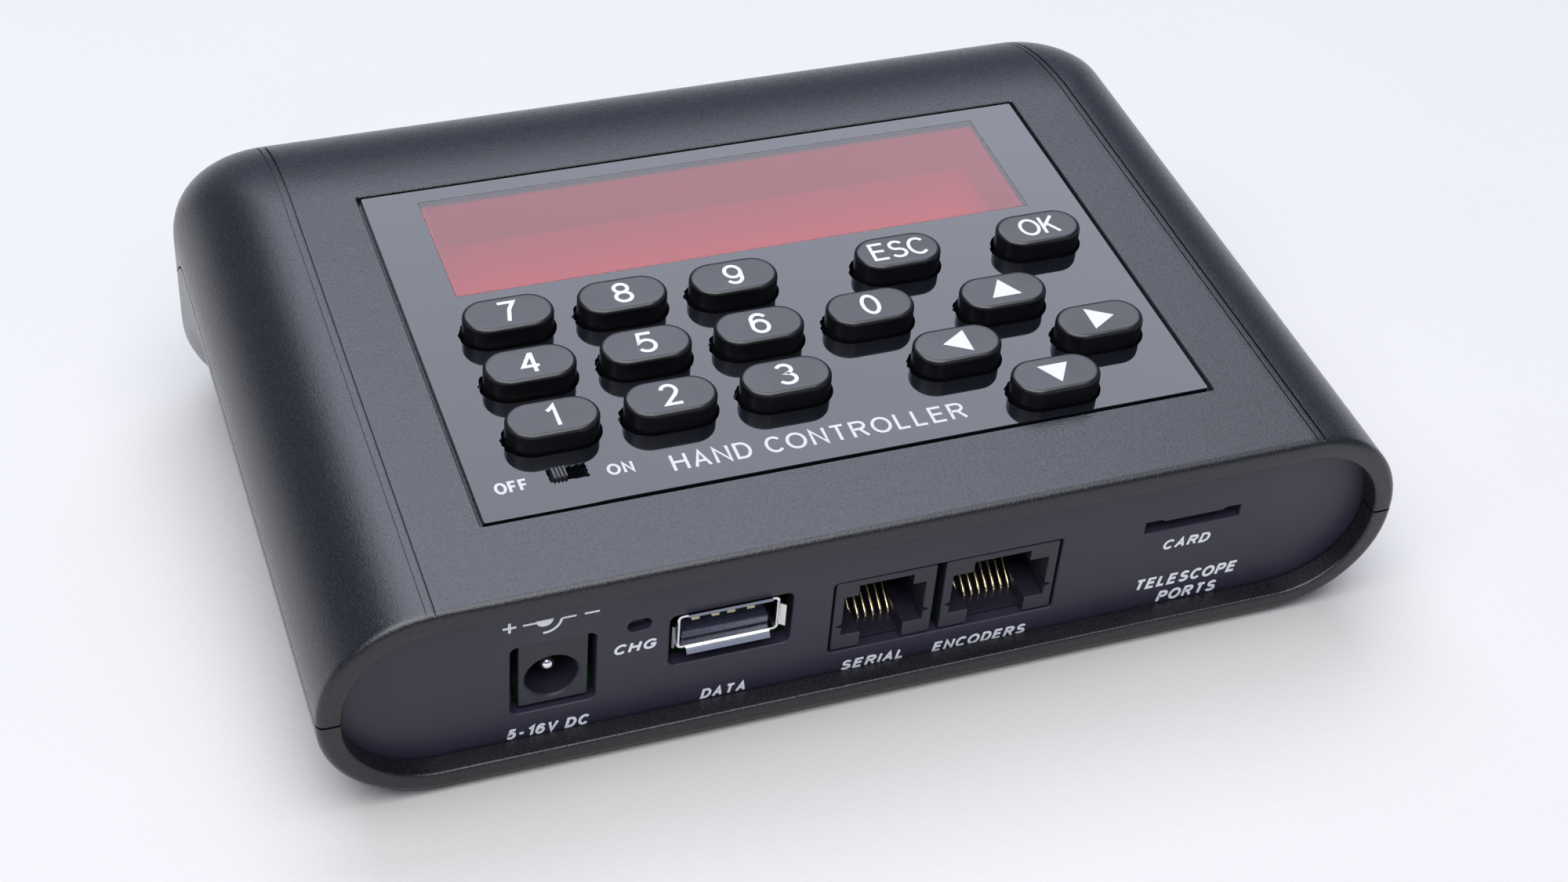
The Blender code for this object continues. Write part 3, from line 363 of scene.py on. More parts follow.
def carve(piece, *steps, smooth=35):
    """Boolean steps, each (operation, bmesh), applied in order."""
    operands = []
    for operation, mesh in steps:
        operand = make(f"{piece.name}_tool", mesh, None)
        operands.append(operand)
        step = piece.modifiers.new("step", "BOOLEAN")
        step.object = operand
        step.operation = operation
        step.solver = "EXACT"
    bake_modifiers(piece, smooth)
    for operand in operands:
        bpy.data.objects.remove(operand)


def less(*meshes):
    """Steps for carve that take the meshes away, in order."""
    return [("DIFFERENCE", mesh) for mesh in meshes]


def settle(piece, slot, *replaced, body="case"):
    """Rides the piece on its body and hides the CAD parts that it replaces."""
    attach(piece, body)
    if replaced:
        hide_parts(*replaced)


# ---- Materials ----
class Look:
    """A procedural material: a Principled shader with helpers to wire noise into it."""

    def __init__(self, name, roughness, metallic=0.0, specular=0.5):
        self.material = bpy.data.materials.new(name)
        self.material.use_nodes = True
        self.nodes = self.material.node_tree.nodes
        self.links = self.material.node_tree.links
        self.shader = self.nodes["Principled BSDF"]
        self.fill(self.shader, Roughness=roughness, Metallic=metallic, IOR=1.5,
                  Specular_IOR_Level=specular)
        self.place = self.nodes.new("ShaderNodeTexCoord").outputs["Object"]

    def fill(self, node, **values):
        """Sets inputs of a node; an underscore stands for a space in an input's name."""
        for name, value in values.items():
            node.inputs[name.replace("_", " ")].default_value = value
        return node

    def noise(self, size, detail=2.0, rough=0.5):
        node = self.nodes.new("ShaderNodeTexNoise")
        self.fill(node, Scale=1.0 / size, Detail=detail, Roughness=rough)
        self.links.new(self.place, node.inputs["Vector"])
        return node.outputs["Fac"]

    def cells(self, size, smoothness):
        node = self.nodes.new("ShaderNodeTexVoronoi")
        node.feature = "SMOOTH_F1"
        self.fill(node, Scale=1.0 / size, Smoothness=smoothness)
        self.links.new(self.place, node.inputs["Vector"])
        return node.outputs["Distance"]

    def spread(self, source, low, high, from_low=0.3, from_high=0.7):
        node = self.nodes.new("ShaderNodeMapRange")
        self.fill(node, From_Min=from_low, From_Max=from_high, To_Min=low, To_Max=high)
        self.links.new(source, node.inputs["Value"])
        return node.outputs["Result"]

    def ramp(self, source, dark, light, low=0.3, high=0.7):
        node = self.nodes.new("ShaderNodeValToRGB")
        for element, place, colour in zip(node.color_ramp.elements, (low, high), (dark, light)):
            element.position = place
            element.color = (*colour, 1.0)
        self.links.new(source, node.inputs["Fac"])
        return node.outputs["Color"]

    def colours(self, *ramp):
        self.links.new(self.ramp(*ramp), self.shader.inputs["Base Color"])

    def roughness(self, source, low, high):
        self.links.new(self.spread(source, low, high), self.shader.inputs["Roughness"])

    def bump(self, source, depth):
        node = self.fill(self.nodes.new("ShaderNodeBump"), Strength=1.0, Distance=depth)
        self.links.new(source, node.inputs["Height"])
        self.links.new(node.outputs["Normal"], self.shader.inputs["Normal"])


def shades(colour, spread):
    return tuple(c * (1 - spread) for c in colour), tuple(c * (1 + spread) for c in colour)


def grained(name, colour, rough, grain, depth, spread):
    """Plain moulding: fine grain in colour, roughness and bump, over wide faint smudges."""
    look = Look(name, rough)
    fine = look.noise(grain * MM, 3.0, 0.6)
    look.colours(fine, *shades(colour, spread))
    look.roughness(look.noise(9 * MM, 3.0), rough * 0.9, rough * 1.1)
    look.bump(fine, depth * MM)
    return look.material


def case_look():
    """Black ABS with a fine sandy grain."""
    look = Look("case_plastic", 0.26, specular=0.52)
    fine = look.noise(0.27 * MM, 3.0, 0.7)
    look.colours(fine, (0.002, 0.0022, 0.003), (0.012, 0.0125, 0.017), 0.38, 0.66)
    look.roughness(look.noise(0.5 * MM, 3.0, 0.6), 0.21, 0.3)
    look.bump(fine, 0.05 * MM)
    return look.material


def film_look(name, colour, rough):
    """Printed label film: glossy, with very faint waves and dust-like variation."""
    look = Look(name, rough, specular=0.5)
    look.colours(look.noise(0.5 * MM, 2.0), *shades(colour, 0.1))
    look.roughness(look.noise(6 * MM, 4.0, 0.7), rough * 0.7, rough * 1.5)
    look.bump(look.noise(18 * MM, 1.0), 0.02 * MM)
    return look.material


def ink_look(name, colour):
    look = Look(name, 0.5)
    look.colours(look.noise(0.15 * MM, 2.0), *shades(colour, 0.06))
    look.roughness(look.noise(0.6 * MM), 0.42, 0.58)
    return look.material


def metal_look(name, colour, rough):
    """Drawn or plated metal with streaks along one axis."""
    look = Look(name, rough, metallic=1.0)
    scale = look.fill(look.nodes.new("ShaderNodeMapping"), Scale=(1.0, 0.08, 1.0))
    look.links.new(look.place, scale.inputs["Vector"])
    look.place = scale.outputs["Vector"]
    streaks = look.noise(0.12 * MM, 3.0, 0.6)
    look.colours(streaks, *shades(colour, 0.04))
    look.roughness(streaks, rough * 0.85, rough * 1.15)
    look.bump(streaks, 0.0015 * MM)
    return look.material


def board_look():
    """Green solder mask with copper traces showing faintly through it."""
    look = Look("circuit_board", 0.35)
    look.colours(look.cells(2.4 * MM, 0.0), (0.012, 0.075, 0.03), (0.03, 0.15, 0.06), 0.2, 0.5)
    look.roughness(look.noise(3 * MM), 0.3, 0.42)
    look.bump(look.noise(0.8 * MM), 0.02 * MM)
    return look.material


def window_look():
    """Clear red filter: a tinted see-through film, glossier the more it is seen from the side."""
    look = Look("red_window", 0.05)
    clear = look.nodes.new("ShaderNodeBsdfTransparent")
    tint = look.ramp(look.noise(12 * MM), (0.9, 0.05, 0.08), (0.94, 0.065, 0.095), 0.0, 1.0)
    look.links.new(tint, clear.inputs["Color"])
    gloss = look.fill(look.nodes.new("ShaderNodeBsdfGlossy"), Roughness=0.06)
    facing = look.fill(look.nodes.new("ShaderNodeLayerWeight"), Blend=0.5)
    steep = look.nodes.new("ShaderNodeMath")
    steep.operation = "POWER"
    steep.inputs[1].default_value = 5.0
    look.links.new(facing.outputs["Facing"], steep.inputs[0])
    share = look.spread(steep.outputs["Value"], 0.062, 1.0, 0.0, 1.0)
    both = look.nodes.new("ShaderNodeMixShader")
    sources = (share, clear.outputs["BSDF"], gloss.outputs["BSDF"])
    for source, socket in zip(sources, both.inputs):
        look.links.new(source, socket)
    look.links.new(both.outputs["Shader"], look.nodes["Material Output"].inputs["Surface"])
    look.nodes.remove(look.shader)
    return look.material


def floor_look():
    look = Look("pale_floor", 0.55, specular=0.3)
    look.colours(look.noise(60 * MM, 2.0), (0.425, 0.418, 0.405), (0.435, 0.428, 0.415))
    look.roughness(look.noise(2 * MM), 0.5, 0.6)
    look.bump(look.cells(0.9 * MM, 0.5), 0.03 * MM)
    return look.material


# Maker, name, colour and roughness; for mouldings also the grain's size and depth in mm and its contrast.
LOOK_TABLE = (
    (grained, "panel_plastic", (0.021, 0.0195, 0.036), 0.42, 0.25, 0.008, 0.15),
    (grained, "keycap", (0.003, 0.003, 0.004), 0.3, 0.2, 0.006, 0.15),
    (grained, "bezel", (0.075, 0.075, 0.08), 0.6, 0.3, 0.01, 0.15),
    (grained, "black_plastic", (0.017, 0.016, 0.027), 0.38, 0.25, 0.008, 0.15),
    (grained, "deep_black", (0.008, 0.008, 0.01), 0.5, 0.25, 0.008, 0.15),
    (grained, "knob_plastic", (0.018, 0.018, 0.02), 0.45, 0.15, 0.01, 0.15),
    (grained, "rubber", (0.02, 0.02, 0.021), 0.85, 0.35, 0.03, 0.15),
    (grained, "tongue_plastic", (0.035, 0.042, 0.07), 0.4, 0.4, 0.01, 0.45),
    (grained, "light_lens", (0.015, 0.014, 0.018), 0.2, 0.4, 0.01, 0.15),
    (grained, "cell_wrap", (0.05, 0.16, 0.42), 0.3, 2.0, 0.01, 0.15),
    (film_look, "overlay_sheet", (0.004, 0.0045, 0.0065), 0.045),
    (film_look, "display_glass", (0.11, 0.108, 0.105), 0.35),
    (metal_look, "steel", (0.93, 0.92, 0.92), 0.11),
    (metal_look, "gold", (0.8, 0.66, 0.4), 0.22),
    (ink_look, "label_ink", (0.36, 0.365, 0.375)),
    (ink_look, "port_ink", (0.74, 0.75, 0.79)),
    (ink_look, "key_ink", (0.42, 0.42, 0.42)),
)
LOOKS = {name: maker(name, *values) for maker, name, *values in LOOK_TABLE}
LOOKS.update(case_plastic=case_look(), red_window=window_look(), circuit_board=board_look())


# ---- Case shells ----
def heel_drop(y):
    t = min(max((y - HEEL_START) / HEEL_RAMP, 0.0), 1.0)
    return HEEL_DEPTH * t * t * (3 - 2 * t)


def plan_ring(half_width, front, rear, corner, height_at, lean=None):
    """One level of the case in plan; lean is the outward (x, z) direction, for a round front edge."""
    left = []
    start = front
    if lean:
        start += RIM_ROUND
        for sine, cosine in quarter_turn(ROUND_STEPS):
            inset = RIM_ROUND * (1 - sine)
            y = front + RIM_ROUND * (1 - cosine)
            left.append((-half_width + inset * lean[0], y, height_at(y) - inset * lean[1]))
        left.append((-half_width, start + FLAT_EDGE, height_at(start + FLAT_EDGE)))
    for k in range(1 if lean else 0, SIDE_POINTS):
        y = start + (rear - corner - start) * k / (SIDE_POINTS - 1)
        left.append((-half_width, y, height_at(y)))
    for sine, cosine in quarter_turn(CORNER_STEPS, 1):
        y = rear - corner * (1 - sine)
        left.append((-half_width + corner * (1 - cosine), y, height_at(y)))
    return [Vector(p) for p in left] + [Vector((-x, y, z)) for x, y, z in reversed(left)]


def add_case_body(mesh, inset, front, rounded):
    """The closed body of the case, or of its cavity when inset is the wall."""
    bulge = CASE_SIDE_BULGE - inset
    side_corner = CORNER_SIDE - inset
    flat_strip = (-FLAT_EDGE / CASE_SIDE_BULGE, 0.0, 1.0)
    rings = []
    upper = [(sine, sine, cosine) for sine, cosine in quarter_turn(LEVELS)]
    for out, aside, up in [flat_strip] + upper:
        z = -TOP_HEIGHT + (TOP_HEIGHT - inset) * up
        rings.append(plan_ring(CASE_FLAT_HALF + bulge * out, front,
                               REAR_START + (REAR_LENGTH - inset) * out,
                               CORNER_TOP + (side_corner - CORNER_TOP) * max(out, 0),
                               lambda y, z=z: z, rounded and (aside, up)))
    lower = [(cosine, cosine, sine) for sine, cosine in quarter_turn(LEVELS)]
    for out, aside, down in lower + [flat_strip]:
        z = BAND_BOTTOM - (BOTTOM_HEIGHT - inset) * down
        rings.append(plan_ring(CASE_FLAT_HALF + bulge * out, front,
                               CASE_REAR - inset - REAR_BOTTOM_ROUND * (1 - out),
                               CORNER_BOTTOM + (side_corner - CORNER_BOTTOM) * max(out, 0),
                               lambda y, z=z: z - heel_drop(y), rounded and (aside, -down)))
    add_rings(mesh, rings, "strip")


def case_section(inset):
    """The stadium-shaped section across the case at the port panel, shrunk by inset."""
    bulge = CASE_SIDE_BULGE - inset
    right = [(CASE_FLAT_HALF + bulge * sine, -TOP_HEIGHT + (TOP_HEIGHT - inset) * cosine)
             for sine, cosine in quarter_turn(LEVELS)]
    right += [(CASE_FLAT_HALF + bulge * cosine, BAND_BOTTOM - (BOTTOM_HEIGHT - inset) * sine)
              for sine, cosine in quarter_turn(LEVELS)]
    return right + [(-x, z) for x, z in reversed(right)]


def front_mouth():
    """Cuts the case open behind its rim, with a rounded inner edge."""
    levels = [(RIM_FRONT - 3 * MM, LIP_ROUND)]
    levels += [(RIM_FRONT + LIP_ROUND * (1 - cosine), LIP_ROUND * (1 - sine))
               for sine, cosine in quarter_turn(LIP_STEPS)]
    return stack(lambda grow: case_section(LIP_WALL - grow), "Y", levels + [(WALL, 0.0)])


def cavity():
    mesh = bmesh.new()
    add_case_body(mesh, WALL, -0.3 * MM, False)
    return mesh


def parting_block(above):
    """Everything above or below the parting line, which dips round the rear."""
    shift = SEAM_GAP / 2 if above else -SEAM_GAP / 2
    points = [(-FAR, -TOP_HEIGHT + shift)]
    for k in range(DIP_STEPS + 1):
        t = k / DIP_STEPS
        drop = PARTING_DIP * (1 - cos(pi * t)) / 2
        points.append((PARTING_DIP_START + PARTING_DIP_LENGTH * t, -TOP_HEIGHT - drop + shift))
    points.append((2 * FAR, -TOP_HEIGHT - PARTING_DIP + shift))
    far = FAR if above else -FAR
    mesh = bmesh.new()
    add_rings(mesh, [[Vector((-FAR, y, level)), Vector((FAR, y, level)), Vector((FAR, y, far)),
                      Vector((-FAR, y, far))] for y, level in points])
    return mesh


def groove_cutters():
    """The pairs of fine lines that run from the front edge over the rear curve on each side."""
    path = [(RIM_FRONT - MM, 0.0, 1.0, 0.0), (REAR_START, 0.0, 1.0, 0.0)]
    for k in range(1, GROOVE_STEPS + 1):
        angle = GROOVE_STEP_ANGLE * k
        out = Vector((TOP_HEIGHT * sin(angle), REAR_LENGTH * cos(angle))).normalized()
        path.append((REAR_START + REAR_LENGTH * sin(angle), -TOP_HEIGHT * (1 - cos(angle)),
                     out[1], out[0]))
    mesh = bmesh.new()
    for x, width, depth in GROOVES:
        corners = ((-0.8, 0.6), (0.8, 0.6), (0.35, -depth), (-0.35, -depth))
        add_rings(mesh, [[Vector(((x + side * width) * MM, y + ny * reach * MM, z + nz * reach * MM))
                          for side, reach in corners] for y, z, nz, ny in path])
    return mesh


def key_spots():
    return {name: middle(name) for name in KEYS}


def switch_spot():
    """Middle of the slot that the power knob slides in."""
    joint = next(j for j in frame["joints"] if j["name"] == "power_slide")
    low, high = local_box("power_switch_knob")
    travel = joint["range_m"][1]
    return (low.x + high.x + travel) / 2, (low.y + high.y) / 2, high.x - low.x + travel, high.y - low.y


def add_post(mesh, node, radius, low, high, sides=40):
    """An upright cylinder about the middle of a node."""
    spot = middle(node)
    add_prism(mesh, circle(spot.x, spot.y, radius, sides), "Z", low, high)


def window_box(more, corner=0.0):
    """Outline of the display window, longer and wider by more."""
    return rounded_box(WINDOW_MID.x, WINDOW_MID.y, WINDOW_SIZE[0] + more, WINDOW_SIZE[1] + more, corner)


def key_openings():
    """Cutters for the holes that the keys come through."""
    mesh = bmesh.new()
    for spot in key_spots().values():
        outline = stadium(spot.x, spot.y, KEY_LENGTH + 2 * KEY_GAP, KEY_WIDTH + 2 * KEY_GAP)
        add_prism(mesh, outline, "Z", -TOP_HEIGHT, FAR)
    return mesh


def top_extras():
    """Screw posts and the shroud under the display window."""
    mesh = bmesh.new()
    for name in CASE_SCREWS:
        add_post(mesh, name, POST_RADIUS, -TOP_HEIGHT + SEAM_GAP / 2, -WALL / 2)
    add_prism(mesh, window_box(2 * SHROUD_WALL), "Z", -SHROUD_BOTTOM, -RECESS_DEPTH - 0.3 * MM)
    return mesh


def overlay_recess():
    edge = RECESS_EDGE
    outline = grown_box(OVERLAY_MID.x, OVERLAY_MID.y, OVERLAY_SIZE[0] + 2 * RECESS_GROW,
                        OVERLAY_SIZE[1] + 2 * RECESS_GROW, OVERLAY_CORNER, True)
    return stack(outline, "Z", [(-RECESS_DEPTH, 0.0), (-edge, 0.0), (0.0, edge), (TOP_HEIGHT, edge)])


def top_holes():
    """Cutters for the display window, the screws and the power switch."""
    mesh = prism(window_box(-0.8 * MM), "Z", -2 * TOP_HEIGHT, TOP_HEIGHT)
    for name in CASE_SCREWS:
        add_post(mesh, name, SCREW_HOLE, -2 * TOP_HEIGHT, SCREW_HOLE_TOP, SCREW_HOLE_SIDES)
    x, y, length, width = switch_spot()
    slot = rounded_box(x, y, length + 0.6 * MM, width + 0.6 * MM, 0.3 * MM)
    add_prism(mesh, slot, "Z", -TOP_HEIGHT, TOP_HEIGHT)
    return mesh


def case_blank(name):
    """The whole closed case, before it is cut to one of its shells."""
    body = bmesh.new()
    add_case_body(body, 0.0, RIM_FRONT, True)
    return make(name, body, "case_plastic")


def make_top_shell():
    shell = case_blank("case_top")
    carve(shell, ("INTERSECT", parting_block(True)), *less(cavity(), front_mouth()),
          ("UNION", top_extras()), *less(overlay_recess(), top_holes(), key_openings(), groove_cutters()),
          smooth=32)
    settle(shell, "case_plastic", "top_shell")


def make_bottom_shell():
    shell = case_blank("case_bottom")
    posts, holes, heads = bmesh.new(), bmesh.new(), bmesh.new()
    lowest = CASE_BOTTOM + WALL / 2
    chamfer = 0.4 * MM
    for name in CASE_SCREWS:
        add_post(posts, name, POST_RADIUS, lowest, -TOP_HEIGHT - SEAM_GAP / 2)
        add_post(holes, name, SCREW_HOLE, local_box(name)[0].z, 0.0, SCREW_HOLE_SIDES)
        spot = middle(name)
        add_levels(heads, lambda grow: circle(spot.x, spot.y, HEAD_HOLE + grow), "Z",
                   [(CASE_BOTTOM - WALL, chamfer), (CASE_BOTTOM, chamfer), (CASE_BOTTOM + chamfer, 0.0),
                    (CASE_BOTTOM + 3.0 * MM, 0.0)])
    for name in BOARD_SCREWS:
        add_post(posts, name, POST_RADIUS, lowest, local_box("main_board")[0].z - 0.3 * MM)
        add_post(holes, name, SCREW_HOLE, local_box(name)[0].z - 0.3 * MM, 0.0, SCREW_HOLE_SIDES)
    carve(shell, ("INTERSECT", parting_block(False)), *less(cavity(), front_mouth()), ("UNION", posts),
          *less(holes, heads), smooth=32)
    settle(shell, "case_plastic", "bottom_shell")


# ---- Port panel ----
POWER_MID = middle("power_jack_pin")
USB_LOW, USB_HIGH = local_box("usb_shell")
USB_MID = (USB_LOW + USB_HIGH) / 2
CARD_MID = middle("card_socket")
LIGHT_MID = middle("charge_light")
JACKS = {
    "serial": {"ways": 6, "opening": 5.33 * MM, "notch": 3.6 * MM, "slot": 2.83 * MM},
    "encoder": {"ways": 8, "opening": 6.4 * MM, "notch": 3.8 * MM, "slot": 3.86 * MM},
}
JACK_LOW = local_box("serial_jack")[0]
JACK_HIGH = local_box("encoder_jack")[1]
PORT_EDGE = 0.12 * MM
MOULD_EDGE = 0.1 * MM
PLUG_TOP, PLUG_BOTTOM = -14.1 * MM, -20.6 * MM
WIRE_PITCH = 1.02 * MM
WIRE_RADIUS = 0.21 * MM
# Depth behind the panel and height, in mm, of a contact of the modular jacks.
WIRE_PATH = ((4.3, -22.75), (4.0, -22.5), (3.95, -22.2), (4.15, -21.9), (4.6, -21.55), (6.2, -20.45),
             (8.2, -19.1), (10.2, -17.75), (12.2, -16.4))
USB_X = USB_MID.x - 0.25 * MM
USB_TOP, USB_BOTTOM = -11.3 * MM, -16.75 * MM
USB_Z = (USB_TOP + USB_BOTTOM) / 2
USB_HALF = 6.45 * MM
USB_SHEET = 0.33 * MM
# Depth behind the panel and step outward, in mm, of the flared lips; depth and height of a contact.
USB_FLARE = ((2.4, 0.0), (0.7, 0.0), (0.25, -0.06), (-0.1, -0.3), (-0.55, -0.85))
USB_SPRING = ((1.9, -14.35), (2.15, -14.1), (2.6, -14.2), (4.2, -15.0), (9.0, -15.1))


def dog_bone(grow):
    """The card slot: two taller ends and a thinner middle."""
    half, tall, thin, end = 6.65 * MM + grow, 0.95 * MM + grow, 0.62 * MM + grow, 2.3 * MM
    x, z = CARD_MID.x, CARD_MID.z
    return [(x - half, z - tall), (x + half, z - tall), (x + half, z + tall), (x + half - end, z + tall),
            (x + half - end - 0.4 * MM, z + thin), (x - half + end + 0.4 * MM, z + thin),
            (x - half + end, z + tall), (x - half, z + tall)]


def port_outlines():
    """Outline functions of the port panel's openings."""
    mid = (JACK_LOW.x + JACK_HIGH.x) / 2, (JACK_LOW.z + JACK_HIGH.z) / 2
    size = JACK_HIGH.x - JACK_LOW.x + 0.7 * MM, JACK_HIGH.z - JACK_LOW.z + 0.6 * MM
    return [grown_box(*mid, *size, 0.5 * MM, True),
            grown_box(POWER_MID.x + 0.05 * MM, -16.75 * MM, 10.5 * MM, 11.3 * MM, 0.9 * MM, True),
            grown_box(USB_MID.x + 0.15 * MM, -15.3 * MM, 15.5 * MM, 8.4 * MM, 0.9 * MM, True),
            dog_bone,
            grown_stadium(LIGHT_MID.x, LIGHT_MID.z, 3.0 * MM, 1.9 * MM, 10)]


def make_port_panel():
    edge = PORT_EDGE
    plate = stack(lambda grow: case_section(WALL + 0.3 * MM + grow), "Y",
                  [(0.0, edge), (edge, 0.0), (PANEL_HIGH.y, 0.0)])
    panel = make("port_plate", plate, "panel_plastic")
    cuts = bmesh.new()
    for outline in port_outlines():
        add_levels(cuts, outline, "Y", [(AHEAD, edge), (0.0, edge), (edge, 0.0), (4 * MM, 0.0)])
    carve(panel, *less(cuts))
    settle(panel, "panel_plastic", "port_panel")


# ---- Overlay, window, display ----
def burred_key_hole(spot, seed):
    """A key's hole in the film, with small burrs at its left end."""
    draw = random.Random(seed)
    points = []
    for u, v in stadium(spot.x, spot.y, KEY_LENGTH + 2 * KEY_GAP, KEY_WIDTH + 2 * KEY_GAP, 24):
        left = max(0.0, (spot.x - u) / (KEY_LENGTH / 2) - 0.66)
        push = 1 + draw.uniform(-0.005, 0.055) * min(1.0, left * 5)
        points.append((spot.x + (u - spot.x) * push, v))
    return points


def make_overlay():
    low, high = OVERLAY_LOW.z, OVERLAY_HIGH.z
    edge = 0.06 * MM
    outline = grown_box(OVERLAY_MID.x, OVERLAY_MID.y, *OVERLAY_SIZE, OVERLAY_CORNER, True)
    sheet = stack(outline, "Z", [(low, 0.0), (high - edge, 0.0), (high, -edge)])
    overlay = make("keypad_film", sheet, "overlay_sheet")
    holes = prism(window_box(-0.5 * MM), "Z", -TOP_HEIGHT, TOP_HEIGHT)
    x, y, length, width = switch_spot()
    slot = ragged(rounded_box(x, y, length + 0.7 * MM, width + 0.5 * MM), 0.09 * MM, 0.28 * MM, 5)
    add_prism(holes, slot, "Z", -TOP_HEIGHT, TOP_HEIGHT)
    keys = bmesh.new()
    for number, spot in enumerate(key_spots().values()):
        add_prism(keys, burred_key_hole(spot, number), "Z", -TOP_HEIGHT, TOP_HEIGHT)
    carve(overlay, *less(holes, keys))
    settle(overlay, "overlay_sheet", "keypad_overlay")


def make_window():
    pane = prism(window_box(-0.6 * MM), "Z", OVERLAY_LOW.z + 0.02 * MM, OVERLAY_HIGH.z)
    settle(make("window_pane", pane, "red_window"), "red_window", "display_window")


def make_bezel():
    """Grey liner round the inside of the window's shroud."""
    thick = 0.5 * MM
    top = OVERLAY_LOW.z - 0.08 * MM
    section = ((0.0, -SHROUD_BOTTOM), (0.0, top), (thick * 0.6, top), (thick, -SHROUD_BOTTOM))
    liner = bmesh.new()
    add_rings(liner, [[Vector((u, v, z)) for u, v in window_box(-0.9 * MM - 2 * inset, 0.6 * MM)]
                      for inset, z in section], "loop")
    settle(make("display_bezel", liner, "bezel"), "black_plastic")


# ---- Keys and lettering ----
def key_cap_mesh(spot):
    low, high = local_box("key_5")
    flange = (high.x - low.x - KEY_LENGTH) / 2
    flange_top = low.z + 0.8 * MM
    levels = [(low.z, flange), (flange_top, flange), (flange_top, 0.0), (-0.5 * MM, 0.0)]
    levels += [(high.z - KEY_EDGE * (1 - sine), KEY_EDGE * (cosine - 1))
               for sine, cosine in quarter_turn(ROUND_STEPS)]
    levels.append((high.z, -KEY_EDGE - 0.3 * MM))
    return stack(grown_stadium(spot.x, spot.y, KEY_LENGTH, KEY_WIDTH), "Z", levels)


def make_keys():
    for name, spot in key_spots().items():
        cap = make(f"cap_{name}", key_cap_mesh(spot), "keycap", 40)
        settle(cap, "keycap", name, body=name)


def arc(x, y, rx, ry, start, end, count=0):
    """Points of an elliptic arc between two angles in degrees."""
    count = count or max(3, round(abs(end - start) / 12))
    angles = [radians(start + (end - start) * k / count) for k in range(count + 1)]
    return [(x + rx * cos(angle), y + ry * sin(angle)) for angle in angles]


STEM = [(0, -0.05), (0, 1.05)]
SIX = [arc(0.28, 0.33, 0.28, 0.33, 0, 360), arc(0.31, 0.56, 0.31, 0.44, 38, 150) + [(0, 0.34)]]
GLYPHS = {
    "0": [arc(0.28, 0.5, 0.28, 0.5, 0, 360)],
    "1": [[(0.02, 0.74), (0.16, 0.84), (0.32, 1), (0.32, -0.05)]],
    "2": [arc(0.27, 0.71, 0.27, 0.29, 165, -20) + [(0.45, 0.48), (0.02, 0), (0.6, 0)]],
    "3": [arc(0.27, 0.76, 0.24, 0.24, 155, -90) + arc(0.27, 0.26, 0.28, 0.26, 90, -155)[1:]],
    "4": [[(0.42, -0.05), (0.42, 1)], [(0.4, 0.98), (0, 0.28), (0.6, 0.28)]],
    "5": [[(0.54, 1), (0.12, 1), (0.05, 0.52)] + arc(0.27, 0.33, 0.28, 0.31, 125, -150)],
    "6": SIX,
    "7": [[(0, 1), (0.56, 1), (0.34, 0.6), (0.2, -0.05)]],
    "8": [arc(0.28, 0.76, 0.24, 0.24, 0, 360), arc(0.28, 0.26, 0.28, 0.26, 0, 360)],
    "9": [[(0.56 - u, 1 - v) for u, v in path] for path in SIX],
    "A": [[(0, -0.05), (0.34, 1), (0.68, -0.05)], [(0.12, 0.33), (0.56, 0.33)]],
    "C": [arc(0.38, 0.5, 0.38, 0.5, 42, 318)],
    "D": [[(0, 0.5), (0, 1)] + arc(0.3, 0.5, 0.36, 0.5, 90, -90) + [(0, 0), (0, 0.5)]],
    "E": [[(0.6, 0), (0, 0), (0, 1), (0.58, 1)], [(0, 0.53), (0.54, 0.53)]],
    "F": [[(0, -0.05), (0, 1), (0.56, 1)], [(0, 0.52), (0.5, 0.52)]],
    "G": [arc(0.4, 0.5, 0.4, 0.5, 40, 322) + [(0.72, 0.46), (0.42, 0.46)]],
    "H": [STEM, [(0.64, -0.05), (0.64, 1.05)], [(0, 0.53), (0.64, 0.53)]],
    "I": [STEM],
    "K": [STEM, [(0.62, 1.05), (0, 0.36)], [(0.22, 0.6), (0.66, -0.05)]],
    "L": [[(0, 1.05), (0, 0), (0.52, 0)]],
    "N": [[(0, -0.05), (0, 1), (0.64, 0), (0.64, 1.05)]],
    "O": [arc(0.42, 0.5, 0.42, 0.5, 0, 360)],
    "P": [[(0, -0.05), (0, 1)] + arc(0.36, 0.74, 0.25, 0.26, 90, -90) + [(0, 0.48)]],
    "R": [[(0, -0.05), (0, 1)] + arc(0.38, 0.75, 0.25, 0.25, 90, -90) + [(0, 0.5)],
          [(0.34, 0.5), (0.66, -0.05)]],
    "S": [arc(0.31, 0.75, 0.27, 0.25, 25, 255) + arc(0.31, 0.255, 0.31, 0.255, 75, -155)],
    "T": [[(0, 1), (0.64, 1)], [(0.32, -0.05), (0.32, 1)]],
    "V": [[(0, 1.05), (0.34, 0), (0.68, 1.05)]],
    "-": [[(0, 0.42), (0.36, 0.42)]],
    " ": [],
}


INK_HALF = 0.025 * MM
INK_STEP = 0.0025 * MM           # crossing strokes differ by this in height
# Word, width and height in mm of each key's legend.
LEGENDS = [(digit, 1.45 if digit == "1" else 2.55, 3.95) for digit in "0123456789"]
LEGENDS += [("ESC", 7.7, 3.55), ("OK", 5.5, 3.55)]
